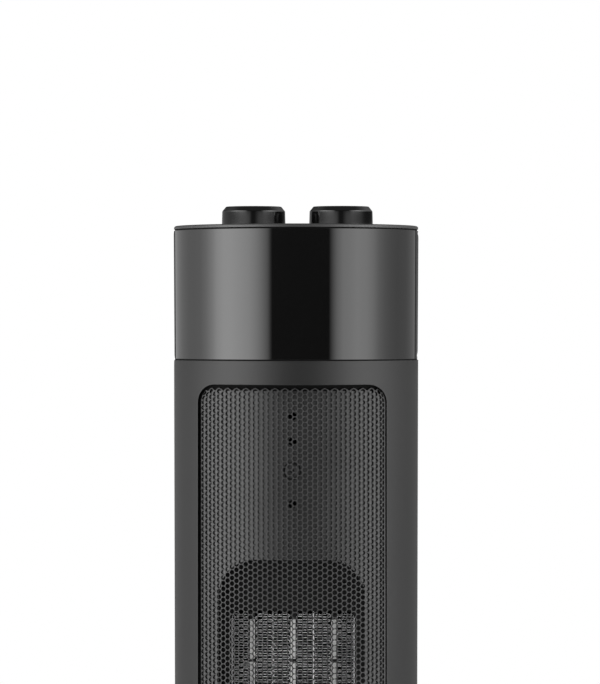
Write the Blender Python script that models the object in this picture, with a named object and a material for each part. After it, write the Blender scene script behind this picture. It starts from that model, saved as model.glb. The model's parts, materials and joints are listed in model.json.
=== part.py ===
"""Ceramic tower heater: a round tower that swings on a low base, with two knobs on its cap.

Lengths are in metres and +Z is up. The origin is on the floor at the base's centre, the front faces -Y.
Angles round the tower are measured from the front, so a point at angle a is (r sin a, -r cos a).
"""

import math

import bmesh
import bpy
from mathutils import Vector
from mathutils.geometry import delaunay_2d_cdt

# Clearances
SEAT_GAP = 0.0003  # between pieces that rest on each other
RUN_GAP = 0.0006  # round a piece that turns or slides
OVERRUN = 0.0030  # how far a cutter passes the faces that it cuts

# Tower
CAP_TOP = 0.5400  # flat top of the cap above the floor
HEAD_HEIGHT = 0.0955  # from the seam under the head to the cap's top
BODY_RADIUS = 0.0870
BODY_TAPER = 0.0011  # radius that the body loses from the seam to its lower edge
SHELL_WALL = 0.0025
SEAM_GROOVE = 0.0008  # dark line between head and body

# Base
FOOT_HEIGHT = 0.0030
FOOT_INSET = 0.0150  # foot ring inside the base's edge
FOOT_WIDTH = 0.0080
BASE_RADIUS = 0.0980
BASE_HEIGHT = 0.0260
BASE_WALL = 0.0025
BASE_EDGE = 0.0045  # rounding of the base's upper edge
BASE_PLATE = 0.0025
BASE_RIM = 0.0180  # ring of the base's top round the well that the tower hides
DECK_TOP = 0.0170
TOWER_LIFT = 0.0025  # gap between base and tower
BASE_BOSS_RADIUS = 0.0040
BASE_SCREW_INSET = 0.0100  # base screws inside the base's edge
BASE_SCREW_ANGLES = (0, 130, 230)

# Pivot
POST_RADIUS = 0.0130
POST_BORE = 0.0090
POST_RISE = 0.0040  # post above the tower's floor
WASHER_RADIUS = 0.0170
WASHER_HEIGHT = 0.0015
SLEEVE_WALL = 0.0040
FLOOR_WALL = 0.0030
FLOOR_INSET = 0.0010  # floor above the tower's lower edge
COLLAR_WALL = 0.0080

# Swing drive
CRANK_OFFSET = 0.0480  # motor's axis behind the pivot
TRACK_EDGE = 0.0038  # deck between the track's far end and the well's wall
CRANK_HEIGHT = 0.0040
CRANK_END = 0.0048  # radius of the crank's ends
CRANK_LIFT = 0.0035  # crank above the base's deck
CRANK_SHAFT_RADIUS = 0.0035
CRANK_SHAFT_ENTRY = 0.0060  # how far the shaft goes into the motor
PIN_RADIUS = 0.0030
PIN_REACH = 0.0012  # pin below the deck's underside
TRACK_SLACK = 0.0052  # room beside the pin, because the swing is modelled at one steady ratio
TRACK_END_SLACK = 0.0012
SWING_MOTOR_RADIUS = 0.0240
SWING_MOTOR_HEIGHT = 0.0180
SWING_EAR_REACH = 0.0310
SWING_EAR_WIDTH = 0.0090
SWING_EAR_WALL = 0.0020
STAKE_SPREAD = 0.0275  # pins on the tower's floor that the motor's ears sit on
STAKE_RISE = 0.0012

# Tip-over switch and cord gland
PLUNGER_INSET = 0.0110  # plunger inside the base's edge
PLUNGER_RADIUS = 0.0035
PLUNGER_TRAVEL = 0.0050
PLUNGER_FLANGE = 0.0016
PLUNGER_FLANGE_RADIUS = 0.0055
SWITCH_BUTTON = 0.0016
SWITCH_BUTTON_RADIUS = 0.0012
TIP_SWITCH_LENGTH = 0.0190
TIP_SWITCH_DEPTH = 0.0064
GLAND_RADIUS = 0.0060
GLAND_BORE = 0.0037
GLAND_LENGTH = 0.0130
GLAND_HEIGHT = 0.0140
GLAND_INSET = 0.0010
GLAND_COLLAR = 0.0018

# Front opening, mesh and liner
OPENING_WIDTH = 0.1323
OPENING_DROP = 0.0174  # from the seam to the opening's upper edge
OPENING_RISE = 0.0200  # from the tower's lower edge to the opening's lower edge
OPENING_CORNER = 0.0120
LIP_WALL = 0.0016
MESH_RADIUS = 0.1010  # the mesh is flatter than the body
MESH_INSET = 0.0023  # mesh's side edges behind the body's face
MESH_MARGIN = 0.0026  # dark gap between the mesh and the opening
MESH_SHEET = 0.0010
MESH_RIM = 0.0012
MESH_STEP = 0.0080  # longest flat along the mesh's edge
MESH_PITCH = 0.0240
MESH_HOLE = 0.0195  # across a hole's flats
LINER_STAND = 0.0060  # liner behind the mesh
LINER_WALL = 0.0020
ARCH_WIDTH = 0.1030
ARCH_DROP = 0.1214  # from the opening's upper edge to the arch
ARCH_RISE = 0.0220  # from the opening's lower edge to the arch's lower edge
ARCH_CORNER = 0.0190
VENT_RADIUS = 0.0029
VENT_DROPS = (0.0211, 0.0386, 0.0820)  # single vents below the opening's upper edge
RING_DROP = 0.0592  # the raised ring among the vents
RING_RADIUS = 0.0062
RING_BORE = 0.0040
RING_RISE = 0.0014
DUCT_WALL = 0.0016

# Heating element
PTC_PLANE = 0.0460  # front of the element's frame, forward of the tower's axis
PTC_FLANGE = 0.0025
POCKET_WALL = 0.0020
POCKET_SPARE = 0.0010
ELEMENT_MARGIN = 0.0376  # from the arch's ends to the element's ends
ELEMENT_DEPTH = 0.0150
WINDOW_CORNER = 0.0070
UNIT_PITCH = 0.0287
TUBE_WIDTH = 0.0040
SIDE_PLATE = 0.0008
FIN_SHEET = 0.0007
UNIT_COUNT = 3
FIN_WALLS = 16
TERMINAL_WIDTH = 0.0008
TERMINAL_LENGTH = 0.0090
TERMINAL_HEIGHT = 0.0060
CUTOUT_RADIUS = 0.0080
CUTOUT_LENGTH = 0.0070

# Cross-flow fan
FAN_SETBACK = 0.0260  # fan's axis behind the tower's axis
FAN_RADIUS = 0.0290
FAN_BLADE_ROOT = 0.0220
FAN_BLADES = 16
BLADE_SHEET = 0.0012
BLADE_SWEEP = 16.0  # degrees that a blade leans from root to tip
FAN_DISC = 0.0020
FAN_END_GAP = 0.0030
FAN_TIP_GAP = 0.0035
FAN_SHAFT_RADIUS = 0.0030
SCROLL_WALL = 0.0020
SCROLL_SWEEP = 80.0  # degrees round the fan over which the scroll closes in
TONGUE_TURN = 20.0  # degrees of the tongue's tip forward of the fan's side
FAN_PLATE = 0.0025
LOWER_BEARING_RADIUS = 0.0065
LOWER_BEARING_HEIGHT = 0.0060

# Fan motor
MOTOR_POST_HEIGHT = 0.0120
MOTOR_POST_RADIUS = 0.0030
MOTOR_POST_SPREAD = 0.0220
CORE_HEIGHT = 0.0200
CORE_WIDTH = 0.0560
CORE_FRONT = 0.0240  # core forward of the fan's axis
CORE_BACK = 0.0440
CORE_LIMB = 0.0120
CORE_WINDOW_WIDTH = 0.0330
ROTOR_RADIUS = 0.0130
ROTOR_AIR_GAP = 0.0008
ROTOR_PROUD = 0.0010
CORE_BRIDGE = 0.0040  # iron between rotor bore and coil window
COIL_WIDTH = 0.0280
COIL_WRAP = 0.0080
BRACKET_SHEET = 0.0020
BRACKET_STAND = 0.0070
BRACKET_WIDTH = 0.0140
MOTOR_BEARING_RADIUS = 0.0055
MOTOR_BEARING_HEIGHT = 0.0060
SHAFT_TAIL = 0.0040

# Head
DECK_PLATE = 0.0025  # plate between body and head
SPIGOT_WALL = 0.0025
SPIGOT_DEPTH = 0.0075
SPIGOT_GAP = 0.0005
HEAD_TAPER = 0.0006  # radius that the head loses from the cap to the seam
HEAD_WALL = 0.0024
PANEL_HALF_ANGLE = 80.0  # half the angle that the glossy panel wraps
CAP_RADIUS = 0.0872
CAP_EDGE = 0.0029
CAP_ROUND = 0.0014
CAP_WALL = 0.0026
CAP_GROOVE = 0.0009
HANDLE_WIDTH = 0.0940
HANDLE_HEIGHT = 0.0280
HANDLE_DEPTH = 0.0280
HANDLE_DROP = 0.0420
HANDLE_CORNER = 0.0090
HANDLE_WALL = 0.0020

# Knobs and controls
KNOB_SPACING = 0.0630
KNOB_SETBACK = 0.0180
KNOB_RADIUS = 0.0223
KNOB_DRAFT = 0.0003
KNOB_HEIGHT = 0.0136
KNOB_LIFT = 0.0010
KNOB_EDGE = 0.0022
KNOB_WALL = 0.0022
KNOB_BOSS = 0.0058
KNOB_BOSS_INSET = 0.0014
POINTER_WIDTH = 0.0016
POINTER_DEPTH = 0.0006
POINTER_FROM = 0.0070
SHAFT_RADIUS = 0.0030
SHAFT_ENTRY = 0.0090  # shaft inside the control
NECK_RADIUS = 0.0048
NUT_RADIUS = 0.0070
NUT_HEIGHT = 0.0024
MODE_BODY = 0.0320
MODE_BODY_HEIGHT = 0.0190
THERMOSTAT_WIDTH = 0.0360
THERMOSTAT_DEPTH = 0.0180
THERMOSTAT_HEIGHT = 0.0150
NECK_HEIGHT = 0.0050
TAB_WIDTH = 0.0063
TAB_SHEET = 0.0008
TAB_LENGTH = 0.0080
BUTTON_RADIUS = 0.0065
BUTTON_PROUD = 0.0024
BUTTON_TRAVEL = 0.0018
BUTTON_SETBACK = 0.0520
BUTTON_FLANGE = 0.0012
BUTTON_FLANGE_HEIGHT = 0.0012
BUTTON_STEM = 0.0020
BUTTON_ROUND = 0.0008
SWING_SWITCH_WIDTH = 0.0180
SWING_SWITCH_HEIGHT = 0.0150

# Rear intake and screws
SLOT_WIDTH = 0.0042
SLOT_LENGTH = 0.0940
SLOT_RIB = 0.0080
SLOT_ANGLE = 7.0
SLOT_COLUMNS = 13
SLOT_ROWS = 2
SLOT_LOW = 0.0600  # lowest slots above the tower's lower edge
SHELL_BOSS_INSET = 0.0045  # shell screws inside the body's widest points
SHELL_BOSS_RADIUS = 0.0047
SHELL_BOSS_FRONT = 0.0160
SHELL_BOSS_REAR = 0.0350  # runs out through the wall, so that the screw can be reached
SHELL_SCREW_INSET = 0.0250  # shell screws from the body's upper and lower edges
SCREW_RADIUS = 0.0015
SCREW_HEAD_RADIUS = 0.0029
SCREW_HEAD_HEIGHT = 0.0018
SHELL_SCREW_LENGTH = 0.0190
SHELL_SCREW_BITE = 0.0110
LOOM_RADIUS = 0.0030

# Facets
ROUND_STEPS = 40
WALL_STEP = 9.0  # degrees of each flat on the tower's walls
KNOB_STEPS = 24
MEDIUM_STEPS = 24
SMALL_STEPS = 12
SCREW_STEPS = 8
END_STEPS = 6
CORNER_STEPS = 4
EDGE_SHARE = 0.29  # where the middle point of a rounded edge lies

# Heights and places worked out from the sizes above
seam_height = CAP_TOP - HEAD_HEIGHT
tower_low = BASE_HEIGHT + TOWER_LIFT
body_high = seam_height - SEAM_GROOVE / 2
head_low = seam_height + SEAM_GROOVE / 2
foot_outer = BASE_RADIUS - FOOT_INSET
recess_radius = BASE_RADIUS - BASE_RIM
base_screw_circle = BASE_RADIUS - BASE_SCREW_INSET
plunger_circle = BASE_RADIUS - PLUNGER_INSET
crank_throw = recess_radius - TRACK_EDGE - TRACK_END_SLACK - PIN_RADIUS - CRANK_OFFSET
inner_low = BODY_RADIUS - BODY_TAPER - SHELL_WALL
inner_high = BODY_RADIUS - SHELL_WALL
plate_low = FOOT_HEIGHT + SEAT_GAP
plate_high = plate_low + BASE_PLATE
ring_under = BASE_HEIGHT - BASE_WALL
deck_under = DECK_TOP - BASE_WALL
floor_low = tower_low + FLOOR_INSET
floor_high = floor_low + FLOOR_WALL
post_top = floor_high + POST_RISE
opening_top = seam_height - OPENING_DROP
opening_bottom = tower_low + OPENING_RISE
opening_middle = (opening_top + opening_bottom) / 2
opening_height = opening_top - opening_bottom
mesh_half = OPENING_WIDTH / 2 - MESH_MARGIN
mesh_edge_depth = math.sqrt(BODY_RADIUS**2 - mesh_half**2) - MESH_INSET
mesh_axis = math.sqrt(MESH_RADIUS**2 - mesh_half**2) - mesh_edge_depth
liner_face = MESH_RADIUS - LINER_STAND
liner_back = liner_face - LINER_WALL
arch_top = opening_top - ARCH_DROP
arch_bottom = opening_bottom + ARCH_RISE
arch_middle = (arch_top + arch_bottom) / 2
arch_height = arch_top - arch_bottom
element_height = arch_height - 2 * ELEMENT_MARGIN
element_width = UNIT_COUNT * UNIT_PITCH + SIDE_PLATE
window_width = element_width + SEAT_GAP
window_height = element_height + SEAT_GAP
pocket_width = element_width + POCKET_SPARE
pocket_height = element_height + POCKET_SPARE
flange_back = -PTC_PLANE + PTC_FLANGE
pocket_back = flange_back + ELEMENT_DEPTH + POCKET_SPARE + POCKET_WALL
housing_front = pocket_back + SEAT_GAP
housing_half = pocket_width / 2 + POCKET_WALL
fan_low = arch_middle - element_height / 2
fan_high = arch_middle + element_height / 2
fan_plate_low = fan_low - FAN_END_GAP
fan_plate_high = fan_high + FAN_END_GAP
motor_bracket_low = fan_plate_high + FAN_PLATE + MOTOR_POST_HEIGHT + SEAT_GAP
core_low = motor_bracket_low + BRACKET_STAND + SEAT_GAP
core_high = core_low + CORE_HEIGHT
motor_bracket_high = core_high + SEAT_GAP + BRACKET_STAND
cap_under = CAP_TOP - CAP_EDGE
head_high = cap_under - CAP_GROOVE
head_inner = CAP_RADIUS - HEAD_TAPER - HEAD_WALL
spigot_radius = min(head_inner, inner_high) - SPIGOT_GAP
cap_ceiling = CAP_TOP - CAP_WALL
control_top = cap_ceiling - SEAT_GAP
knob_low = CAP_TOP + KNOB_LIFT
knob_high = knob_low + KNOB_HEIGHT
nut_high = CAP_TOP + NUT_HEIGHT
knob_places = {"mode": (-KNOB_SPACING / 2, KNOB_SETBACK), "thermostat": (KNOB_SPACING / 2, KNOB_SETBACK)}
base_inner = BASE_RADIUS - BASE_WALL
base_rim = base_inner - SEAT_GAP
crank_low = DECK_TOP + CRANK_LIFT
swing_motor_low = floor_high + SEAT_GAP


def clear_scene():
    for obj in list(bpy.data.objects):
        bpy.data.objects.remove(obj, do_unlink=True)


def finish(name, colour, roughness, metallic=0.0):
    """A plain Principled material, made once and shared by the pieces that have it."""
    material = bpy.data.materials.get(name)
    if material is None:
        material = bpy.data.materials.new(name)
        material.use_nodes = True
        shader = material.node_tree.nodes["Principled BSDF"]
        shader.inputs["Base Color"].default_value = (*colour, 1.0)
        shader.inputs["Roughness"].default_value = roughness
        shader.inputs["Metallic"].default_value = metallic
    return material


def polar(radius, angle):
    """A point at a radius and an angle in degrees from the front."""
    return radius * math.sin(math.radians(angle)), -radius * math.cos(math.radians(angle))


def turned(section, steps, centre=(0, 0)):
    """A solid of revolution about a vertical axis, from a closed outline of (radius, height)."""
    points, rings = [], []
    for radius, height in section:
        if radius == 0:
            rings.append([len(points)] * steps)
            points.append((centre[0], centre[1], height))
            continue
        rings.append(list(range(len(points), len(points) + steps)))
        for k in range(steps):
            turn = 2 * math.pi * k / steps
            points.append((centre[0] + radius * math.cos(turn), centre[1] + radius * math.sin(turn), height))
    faces = []
    for ring, after in zip(rings, rings[1:] + rings[:1]):
        for k in range(steps):
            n = (k + 1) % steps
            corners = list(dict.fromkeys((ring[k], ring[n], after[n], after[k])))
            if len(corners) > 2:
                faces.append(corners)
    return points, faces


def placed(outline, depth, along):
    """The points of a flat outline at one depth along X, Y or Z."""
    if along == "X":
        return [(depth, a, b) for a, b in outline]
    if along == "Y":
        return [(a, depth, b) for a, b in outline]
    return [(a, b, depth) for a, b in outline]


def prism(outline, low, high, along="Z"):
    """A flat outline carried straight from low to high."""
    count = len(outline)
    points = placed(outline, low, along) + placed(outline, high, along)
    faces = [list(range(count)), list(range(2 * count - 1, count - 1, -1))]
    faces += [[k, k + count, (k + 1) % count + count, (k + 1) % count] for k in range(count)]
    return points, faces


def frame_prism(outer, inner, low, high, along="Z"):
    """A prism with a hole right through, from two outlines with as many points each."""
    count = len(outer)
    points = placed(outer, low, along) + placed(inner, low, along)
    points += placed(outer, high, along) + placed(inner, high, along)
    faces = []
    for k in range(count):
        n = (k + 1) % count
        faces.append([k, n, n + count, k + count])
        faces.append([k + 2 * count, k + 3 * count, n + 3 * count, n + 2 * count])
        faces.append([k, k + 2 * count, n + 2 * count, n])
        faces.append([k + count, n + count, n + 3 * count, k + 3 * count])
    return points, faces


def box(x, y, z):
    """A block between three pairs of limits."""
    return prism([(x[0], y[0]), (x[1], y[0]), (x[1], y[1]), (x[0], y[1])], z[0], z[1])


def circle(radius, steps, centre=(0, 0)):
    turns = [2 * math.pi * (k + 0.5) / steps for k in range(steps)]
    return [(centre[0] + radius * math.cos(t), centre[1] + radius * math.sin(t)) for t in turns]


def rod(radius, low, high, centre, steps=SMALL_STEPS, along="Z"):
    return prism(circle(radius, steps, centre), low, high, along)


def bush(radius, bore, low, high, centre, steps=SMALL_STEPS, along="Z"):
    return frame_prism(circle(radius, steps, centre), circle(bore, steps, centre), low, high, along)


def rounded_rectangle(width, height, corner, centre=(0, 0)):
    """A rectangle's outline with round corners, anticlockwise."""
    outline = []
    for across, up, start in ((1, -1, -90), (1, 1, 0), (-1, 1, 90), (-1, -1, 180)):
        for k in range(CORNER_STEPS + 1):
            turn = math.radians(start + 90 * k / CORNER_STEPS)
            outline.append(
                (
                    centre[0] + across * (width / 2 - corner) + corner * math.cos(turn),
                    centre[1] + up * (height / 2 - corner) + corner * math.sin(turn),
                )
            )
    return outline


def arc_wall(radius_low, radius_high, wall, low, high, start, end, step=WALL_STEP):
    """An upright curved wall between two angles, whose outer radius may change with height."""
    steps = max(1, round((end - start) / step))
    points, faces = [], []
    for k in range(steps + 1):
        angle = start + (end - start) * k / steps
        for radius, height in (
            (radius_low, low),
            (radius_high, high),
            (radius_high - wall, high),
            (radius_low - wall, low),
        ):
            points.append((*polar(radius, angle), height))
    for k in range(steps):
        for c in range(4):
            d = (c + 1) % 4
            faces.append([4 * k + c, 4 * k + d, 4 * k + 4 + d, 4 * k + 4 + c])
    faces += [[0, 1, 2, 3], [4 * steps + 3, 4 * steps + 2, 4 * steps + 1, 4 * steps]]
    return points, faces


def curved_wall(radius, wall, half, low, high, axis):
    """A wall on the mesh's own flatter curve, as wide as half on each side of the middle."""
    reach = math.degrees(math.asin(half / radius))
    points, faces = arc_wall(radius, radius, wall, low, high, -reach, reach, WALL_STEP / 2)
    return [(x, y + axis, z) for x, y, z in points], faces


def screw(low, length, centre, along="Z", flip=False):
    """A pan-head screw whose shank starts at low. Flip puts its head at the low end."""
    shank = SCREW_RADIUS
    head = SCREW_HEAD_RADIUS
    start, end = low, low + length
    levels = [(end, shank), (start, shank), (start, head), (start - SCREW_HEAD_HEIGHT, head)]
    if not flip:
        levels = [(start, shank), (end, shank), (end, head), (end + SCREW_HEAD_HEIGHT, head)]
    points, faces = [], []
    for depth, radius in levels:
        points += placed(circle(radius, SCREW_STEPS, centre), depth, along)
    for ring in range(len(levels) - 1):
        for k in range(SCREW_STEPS):
            n = (k + 1) % SCREW_STEPS
            a, b = ring * SCREW_STEPS, (ring + 1) * SCREW_STEPS
            faces.append([a + k, a + n, b + n, b + k])
    faces.append(list(range(SCREW_STEPS)))
    faces.append(list(range(len(points) - SCREW_STEPS, len(points))))
    return points, faces


def make_object(name, shapes, origin):
    """One mesh object from several separate shapes, with its faces pointing out."""
    mesh = bpy.data.meshes.new(name)
    points, faces = [], []
    for more_points, more_faces in shapes:
        faces += [[i + len(points) for i in face] for face in more_faces]
        points += [Vector(p) - origin for p in more_points]
    mesh.from_pydata(points, [], faces)
    surface = bmesh.new()
    surface.from_mesh(mesh)
    bmesh.ops.recalc_face_normals(surface, faces=surface.faces)
    surface.to_mesh(mesh)
    surface.free()
    obj = bpy.data.objects.new(name, mesh)
    obj.location = origin
    bpy.context.scene.collection.objects.link(obj)
    return obj


def part(name, material, *shapes, joint=None):
    """A named piece. A moving piece gets its origin on its joint's axis, and its empty as parent."""
    origin = Vector(joint.location) if joint else Vector((0, 0, 0))
    obj = make_object(name, shapes, origin)
    obj.data.materials.append(material)
    obj.data.shade_smooth()
    obj.data.set_sharp_from_angle(angle=math.radians(35))
    if joint:
        obj.parent = joint
        obj.location = (0, 0, 0)
    return obj


def tool(*shapes):
    """A hidden shape that cuts or joins a piece."""
    obj = make_object("tool", shapes, Vector((0, 0, 0)))
    obj.hide_render = True
    obj.display_type = "WIRE"
    return obj


def combine(obj, operation, *tools):
    for other in tools:
        modifier = obj.modifiers.new(operation.lower(), "BOOLEAN")
        modifier.operation = operation
        modifier.object = other
    return obj


def joint_axis(name, place):
    empty = bpy.data.objects.new(name, None)
    empty.location = place
    bpy.context.scene.collection.objects.link(empty)
    return empty


def finishes():
    return {
        "satin_black": finish("satin_black", (0.030, 0.030, 0.031), 0.42),
        "gloss_black": finish("gloss_black", (0.006, 0.006, 0.007), 0.06),
        "knob_black": finish("knob_black", (0.012, 0.012, 0.013), 0.24),
        "inner_black": finish("inner_black", (0.010, 0.010, 0.011), 0.60),
        "mesh_metal": finish("mesh_metal", (0.060, 0.060, 0.062), 0.45, 0.6),
        "aluminium": finish("aluminium", (0.60, 0.61, 0.62), 0.35, 1.0),
        "steel": finish("steel", (0.50, 0.50, 0.51), 0.35, 1.0),
        "iron": finish("iron", (0.22, 0.22, 0.23), 0.55, 0.8),
        "copper": finish("copper", (0.55, 0.22, 0.10), 0.35, 0.9),
        "rubber": finish("rubber", (0.018, 0.018, 0.018), 0.80),
        "white_nylon": finish("white_nylon", (0.75, 0.74, 0.70), 0.50),
        "grey_nylon": finish("grey_nylon", (0.25, 0.25, 0.26), 0.50),
    }


def base_parts(look):
    """The low round base that stands on the floor."""
    foot = bush(foot_outer, foot_outer - FOOT_WIDTH, 0, FOOT_HEIGHT, (0, 0), ROUND_STEPS)
    part("rubber_foot_ring", look["rubber"], foot)

    plate = part(
        "base_plate",
        look["inner_black"],
        turned([(0, plate_low), (base_rim, plate_low), (base_rim, plate_high), (0, plate_high)], ROUND_STEPS),
    )
    plunger_at = (-plunger_circle, 0)
    span = (plate_low - OVERRUN, plate_high + OVERRUN)
    holes = [
        rod(SCREW_RADIUS + RUN_GAP, *span, polar(base_screw_circle, a), SCREW_STEPS)
        for a in BASE_SCREW_ANGLES
    ]
    holes.append(rod(PLUNGER_RADIUS + RUN_GAP, *span, plunger_at))
    combine(plate, "DIFFERENCE", tool(*holes))

    section = [
        (BASE_RADIUS, plate_low),
        (BASE_RADIUS, BASE_HEIGHT - BASE_EDGE),
        (BASE_RADIUS - EDGE_SHARE * BASE_EDGE, BASE_HEIGHT - EDGE_SHARE * BASE_EDGE),
        (BASE_RADIUS - BASE_EDGE, BASE_HEIGHT),
        (recess_radius, BASE_HEIGHT),
        (recess_radius, DECK_TOP),
        (POST_RADIUS, DECK_TOP),
        (POST_RADIUS, post_top),
        (POST_BORE, post_top),
        (POST_BORE, deck_under),
        (recess_radius + BASE_WALL, deck_under),
        (recess_radius + BASE_WALL, ring_under),
        (base_inner, ring_under),
        (base_inner, plate_low),
    ]
    cover = part("base_cover", look["satin_black"], turned(section, ROUND_STEPS))
    boss_low = plate_high + SEAT_GAP
    bosses = [
        rod(BASE_BOSS_RADIUS, boss_low, ring_under + BASE_WALL / 2, polar(base_screw_circle, a), SCREW_STEPS)
        for a in BASE_SCREW_ANGLES
    ]
    bores = [
        rod(SCREW_RADIUS + SEAT_GAP, boss_low - OVERRUN, ring_under, polar(base_screw_circle, a), SCREW_STEPS)
        for a in BASE_SCREW_ANGLES
    ]
    track_near = math.sqrt(CRANK_OFFSET**2 - crank_throw**2) - PIN_RADIUS - TRACK_END_SLACK
    track_far = CRANK_OFFSET + crank_throw + PIN_RADIUS + TRACK_END_SLACK
    track_half = PIN_RADIUS + TRACK_SLACK
    track_depth = (deck_under - OVERRUN, DECK_TOP + OVERRUN)
    track = box((-track_half, track_half), (track_near, track_far), track_depth)
    gland_hole = rod(
        GLAND_RADIUS + SEAT_GAP, base_inner - OVERRUN, BASE_RADIUS + OVERRUN, (0, GLAND_HEIGHT), along="Y"
    )
    combine(cover, "UNION", tool(*bosses))
    combine(cover, "DIFFERENCE", tool(*bores, track, gland_hole))

    screw_length = ring_under - plate_low - OVERRUN
    for number, angle in enumerate(BASE_SCREW_ANGLES, 1):
        place = polar(base_screw_circle, angle)
        shape = screw(plate_low - SEAT_GAP, screw_length, place, flip=True)
        part(f"base_screw_{number}", look["steel"], shape)

    gland_end = BASE_RADIUS - GLAND_INSET
    gland = part(
        "cord_gland",
        look["rubber"],
        rod(GLAND_RADIUS, gland_end - GLAND_LENGTH, gland_end, (0, GLAND_HEIGHT), along="Y"),
    )
    collar_face = math.sqrt(base_inner**2 - (GLAND_RADIUS + GLAND_COLLAR) ** 2) - 2 * SEAT_GAP
    collar = rod(
        GLAND_RADIUS + GLAND_COLLAR, collar_face - GLAND_COLLAR, collar_face, (0, GLAND_HEIGHT), along="Y"
    )
    combine(gland, "UNION", tool(collar))
    gland_span = (gland_end - GLAND_LENGTH - OVERRUN, gland_end + OVERRUN)
    combine(gland, "DIFFERENCE", tool(rod(GLAND_BORE, *gland_span, (0, GLAND_HEIGHT), along="Y")))


def tip_switch_parts(look):
    """The plunger under the base that cuts the power when the heater is lifted or tips over."""
    axis = joint_axis("plunger_axis", (-plunger_circle, 0, 0))
    centre = (-plunger_circle, 0)
    flange_low = plate_high + SEAT_GAP + PLUNGER_TRAVEL
    flange_high = flange_low + PLUNGER_FLANGE
    section = [
        (0, 0),
        (PLUNGER_RADIUS, 0),
        (PLUNGER_RADIUS, flange_low),
        (PLUNGER_FLANGE_RADIUS, flange_low),
        (PLUNGER_FLANGE_RADIUS, flange_high),
        (0, flange_high),
    ]
    part("tip_plunger", look["white_nylon"], turned(section, SMALL_STEPS, centre), joint=axis)

    body_low = flange_high + SEAT_GAP + SWITCH_BUTTON
    half_length, half_depth = TIP_SWITCH_LENGTH / 2, TIP_SWITCH_DEPTH / 2
    switch = part(
        "tip_switch",
        look["grey_nylon"],
        box(
            (centre[0] - half_depth, centre[0] + half_depth),
            (-half_length, half_length),
            (body_low, ring_under - SEAT_GAP),
        ),
    )
    button = rod(SWITCH_BUTTON_RADIUS, flange_high + SEAT_GAP, body_low + SWITCH_BUTTON, centre, SCREW_STEPS)
    combine(switch, "UNION", tool(button))


def pivot_parts(look):
    """The tower's floor and what carries it on the base's post."""
    washer_low = DECK_TOP + SEAT_GAP
    washer_high = washer_low + WASHER_HEIGHT
    bore = POST_RADIUS + RUN_GAP
    washer = bush(WASHER_RADIUS, bore, washer_low, washer_high, (0, 0), MEDIUM_STEPS)
    part("glide_washer", look["white_nylon"], washer)

    sleeve_low = washer_high + SEAT_GAP
    section = [
        (bore, sleeve_low),
        (bore + SLEEVE_WALL, sleeve_low),
        (bore + SLEEVE_WALL, floor_low),
        (inner_low - SEAT_GAP, floor_low),
        (inner_low - SEAT_GAP, floor_high),
        (bore, floor_high),
    ]
    floor = part("tower_floor", look["inner_black"], turned(section, ROUND_STEPS))
    span = (floor_low - OVERRUN, floor_high + OVERRUN)
    combine(floor, "DIFFERENCE", tool(rod(CRANK_SHAFT_RADIUS + RUN_GAP, *span, (0, CRANK_OFFSET))))
    stake_top = swing_motor_low + SWING_EAR_WALL + STAKE_RISE
    stake_root = floor_high - FLOOR_WALL / 2
    stakes = [
        rod(SCREW_RADIUS, stake_root, stake_top, (side * STAKE_SPREAD, CRANK_OFFSET), SCREW_STEPS)
        for side in (-1, 1)
    ]
    combine(floor, "UNION", tool(*stakes))

    collar_low = floor_high + SEAT_GAP
    part(
        "pivot_collar",
        look["steel"],
        bush(POST_RADIUS + COLLAR_WALL, POST_RADIUS + SEAT_GAP, collar_low, post_top, (0, 0), MEDIUM_STEPS),
    )


def swing_parts(look):
    """The slow motor and its crank, whose pin runs in the base's track and swings the tower."""
    axis = joint_axis("crank_axis", (0, CRANK_OFFSET, 0))
    crank_high = crank_low + CRANK_HEIGHT
    near = CRANK_OFFSET
    far = CRANK_OFFSET + crank_throw
    arm = []
    for centre, start in ((near, 180), (far, 0)):
        for k in range(END_STEPS + 1):
            turn = math.radians(start + 180 * k / END_STEPS)
            arm.append((CRANK_END * math.cos(turn), centre + CRANK_END * math.sin(turn)))
    crank = part("swing_crank", look["white_nylon"], prism(arm, crank_low, crank_high), joint=axis)
    shaft_top = swing_motor_low + CRANK_SHAFT_ENTRY
    shaft = rod(CRANK_SHAFT_RADIUS, crank_high - CRANK_HEIGHT / 2, shaft_top, (0, near))
    pin = rod(PIN_RADIUS, deck_under - PIN_REACH, crank_low + CRANK_HEIGHT / 2, (0, far))
    combine(crank, "UNION", tool(shaft, pin))

    motor_high = swing_motor_low + SWING_MOTOR_HEIGHT
    can = rod(SWING_MOTOR_RADIUS, swing_motor_low, motor_high, (0, near), MEDIUM_STEPS)
    motor = part("swing_motor", look["steel"], can)
    ears = box(
        (-SWING_EAR_REACH, SWING_EAR_REACH),
        (near - SWING_EAR_WIDTH / 2, near + SWING_EAR_WIDTH / 2),
        (swing_motor_low, swing_motor_low + SWING_EAR_WALL),
    )
    ear_span = (swing_motor_low - OVERRUN, swing_motor_low + SWING_EAR_WALL + OVERRUN)
    holes = [rod(SCREW_RADIUS + SEAT_GAP, *ear_span, (s * STAKE_SPREAD, near), SCREW_STEPS) for s in (-1, 1)]
    bore_top = swing_motor_low + CRANK_SHAFT_ENTRY + RUN_GAP
    holes.append(rod(CRANK_SHAFT_RADIUS + RUN_GAP, swing_motor_low - OVERRUN, bore_top, (0, near)))
    combine(motor, "UNION", tool(ears))
    combine(motor, "DIFFERENCE", tool(*holes))


def shell_screw_places():
    """Where the four screws that join the two body shells sit, as (x, height)."""
    across = inner_low - SHELL_BOSS_INSET
    return [
        (side * across, height)
        for side in (-1, 1)
        for height in (tower_low + SHELL_SCREW_INSET, body_high - SHELL_SCREW_INSET)
    ]


def body_radius_at(height):
    return BODY_RADIUS - BODY_TAPER * (body_high - height) / (body_high - tower_low)


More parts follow.
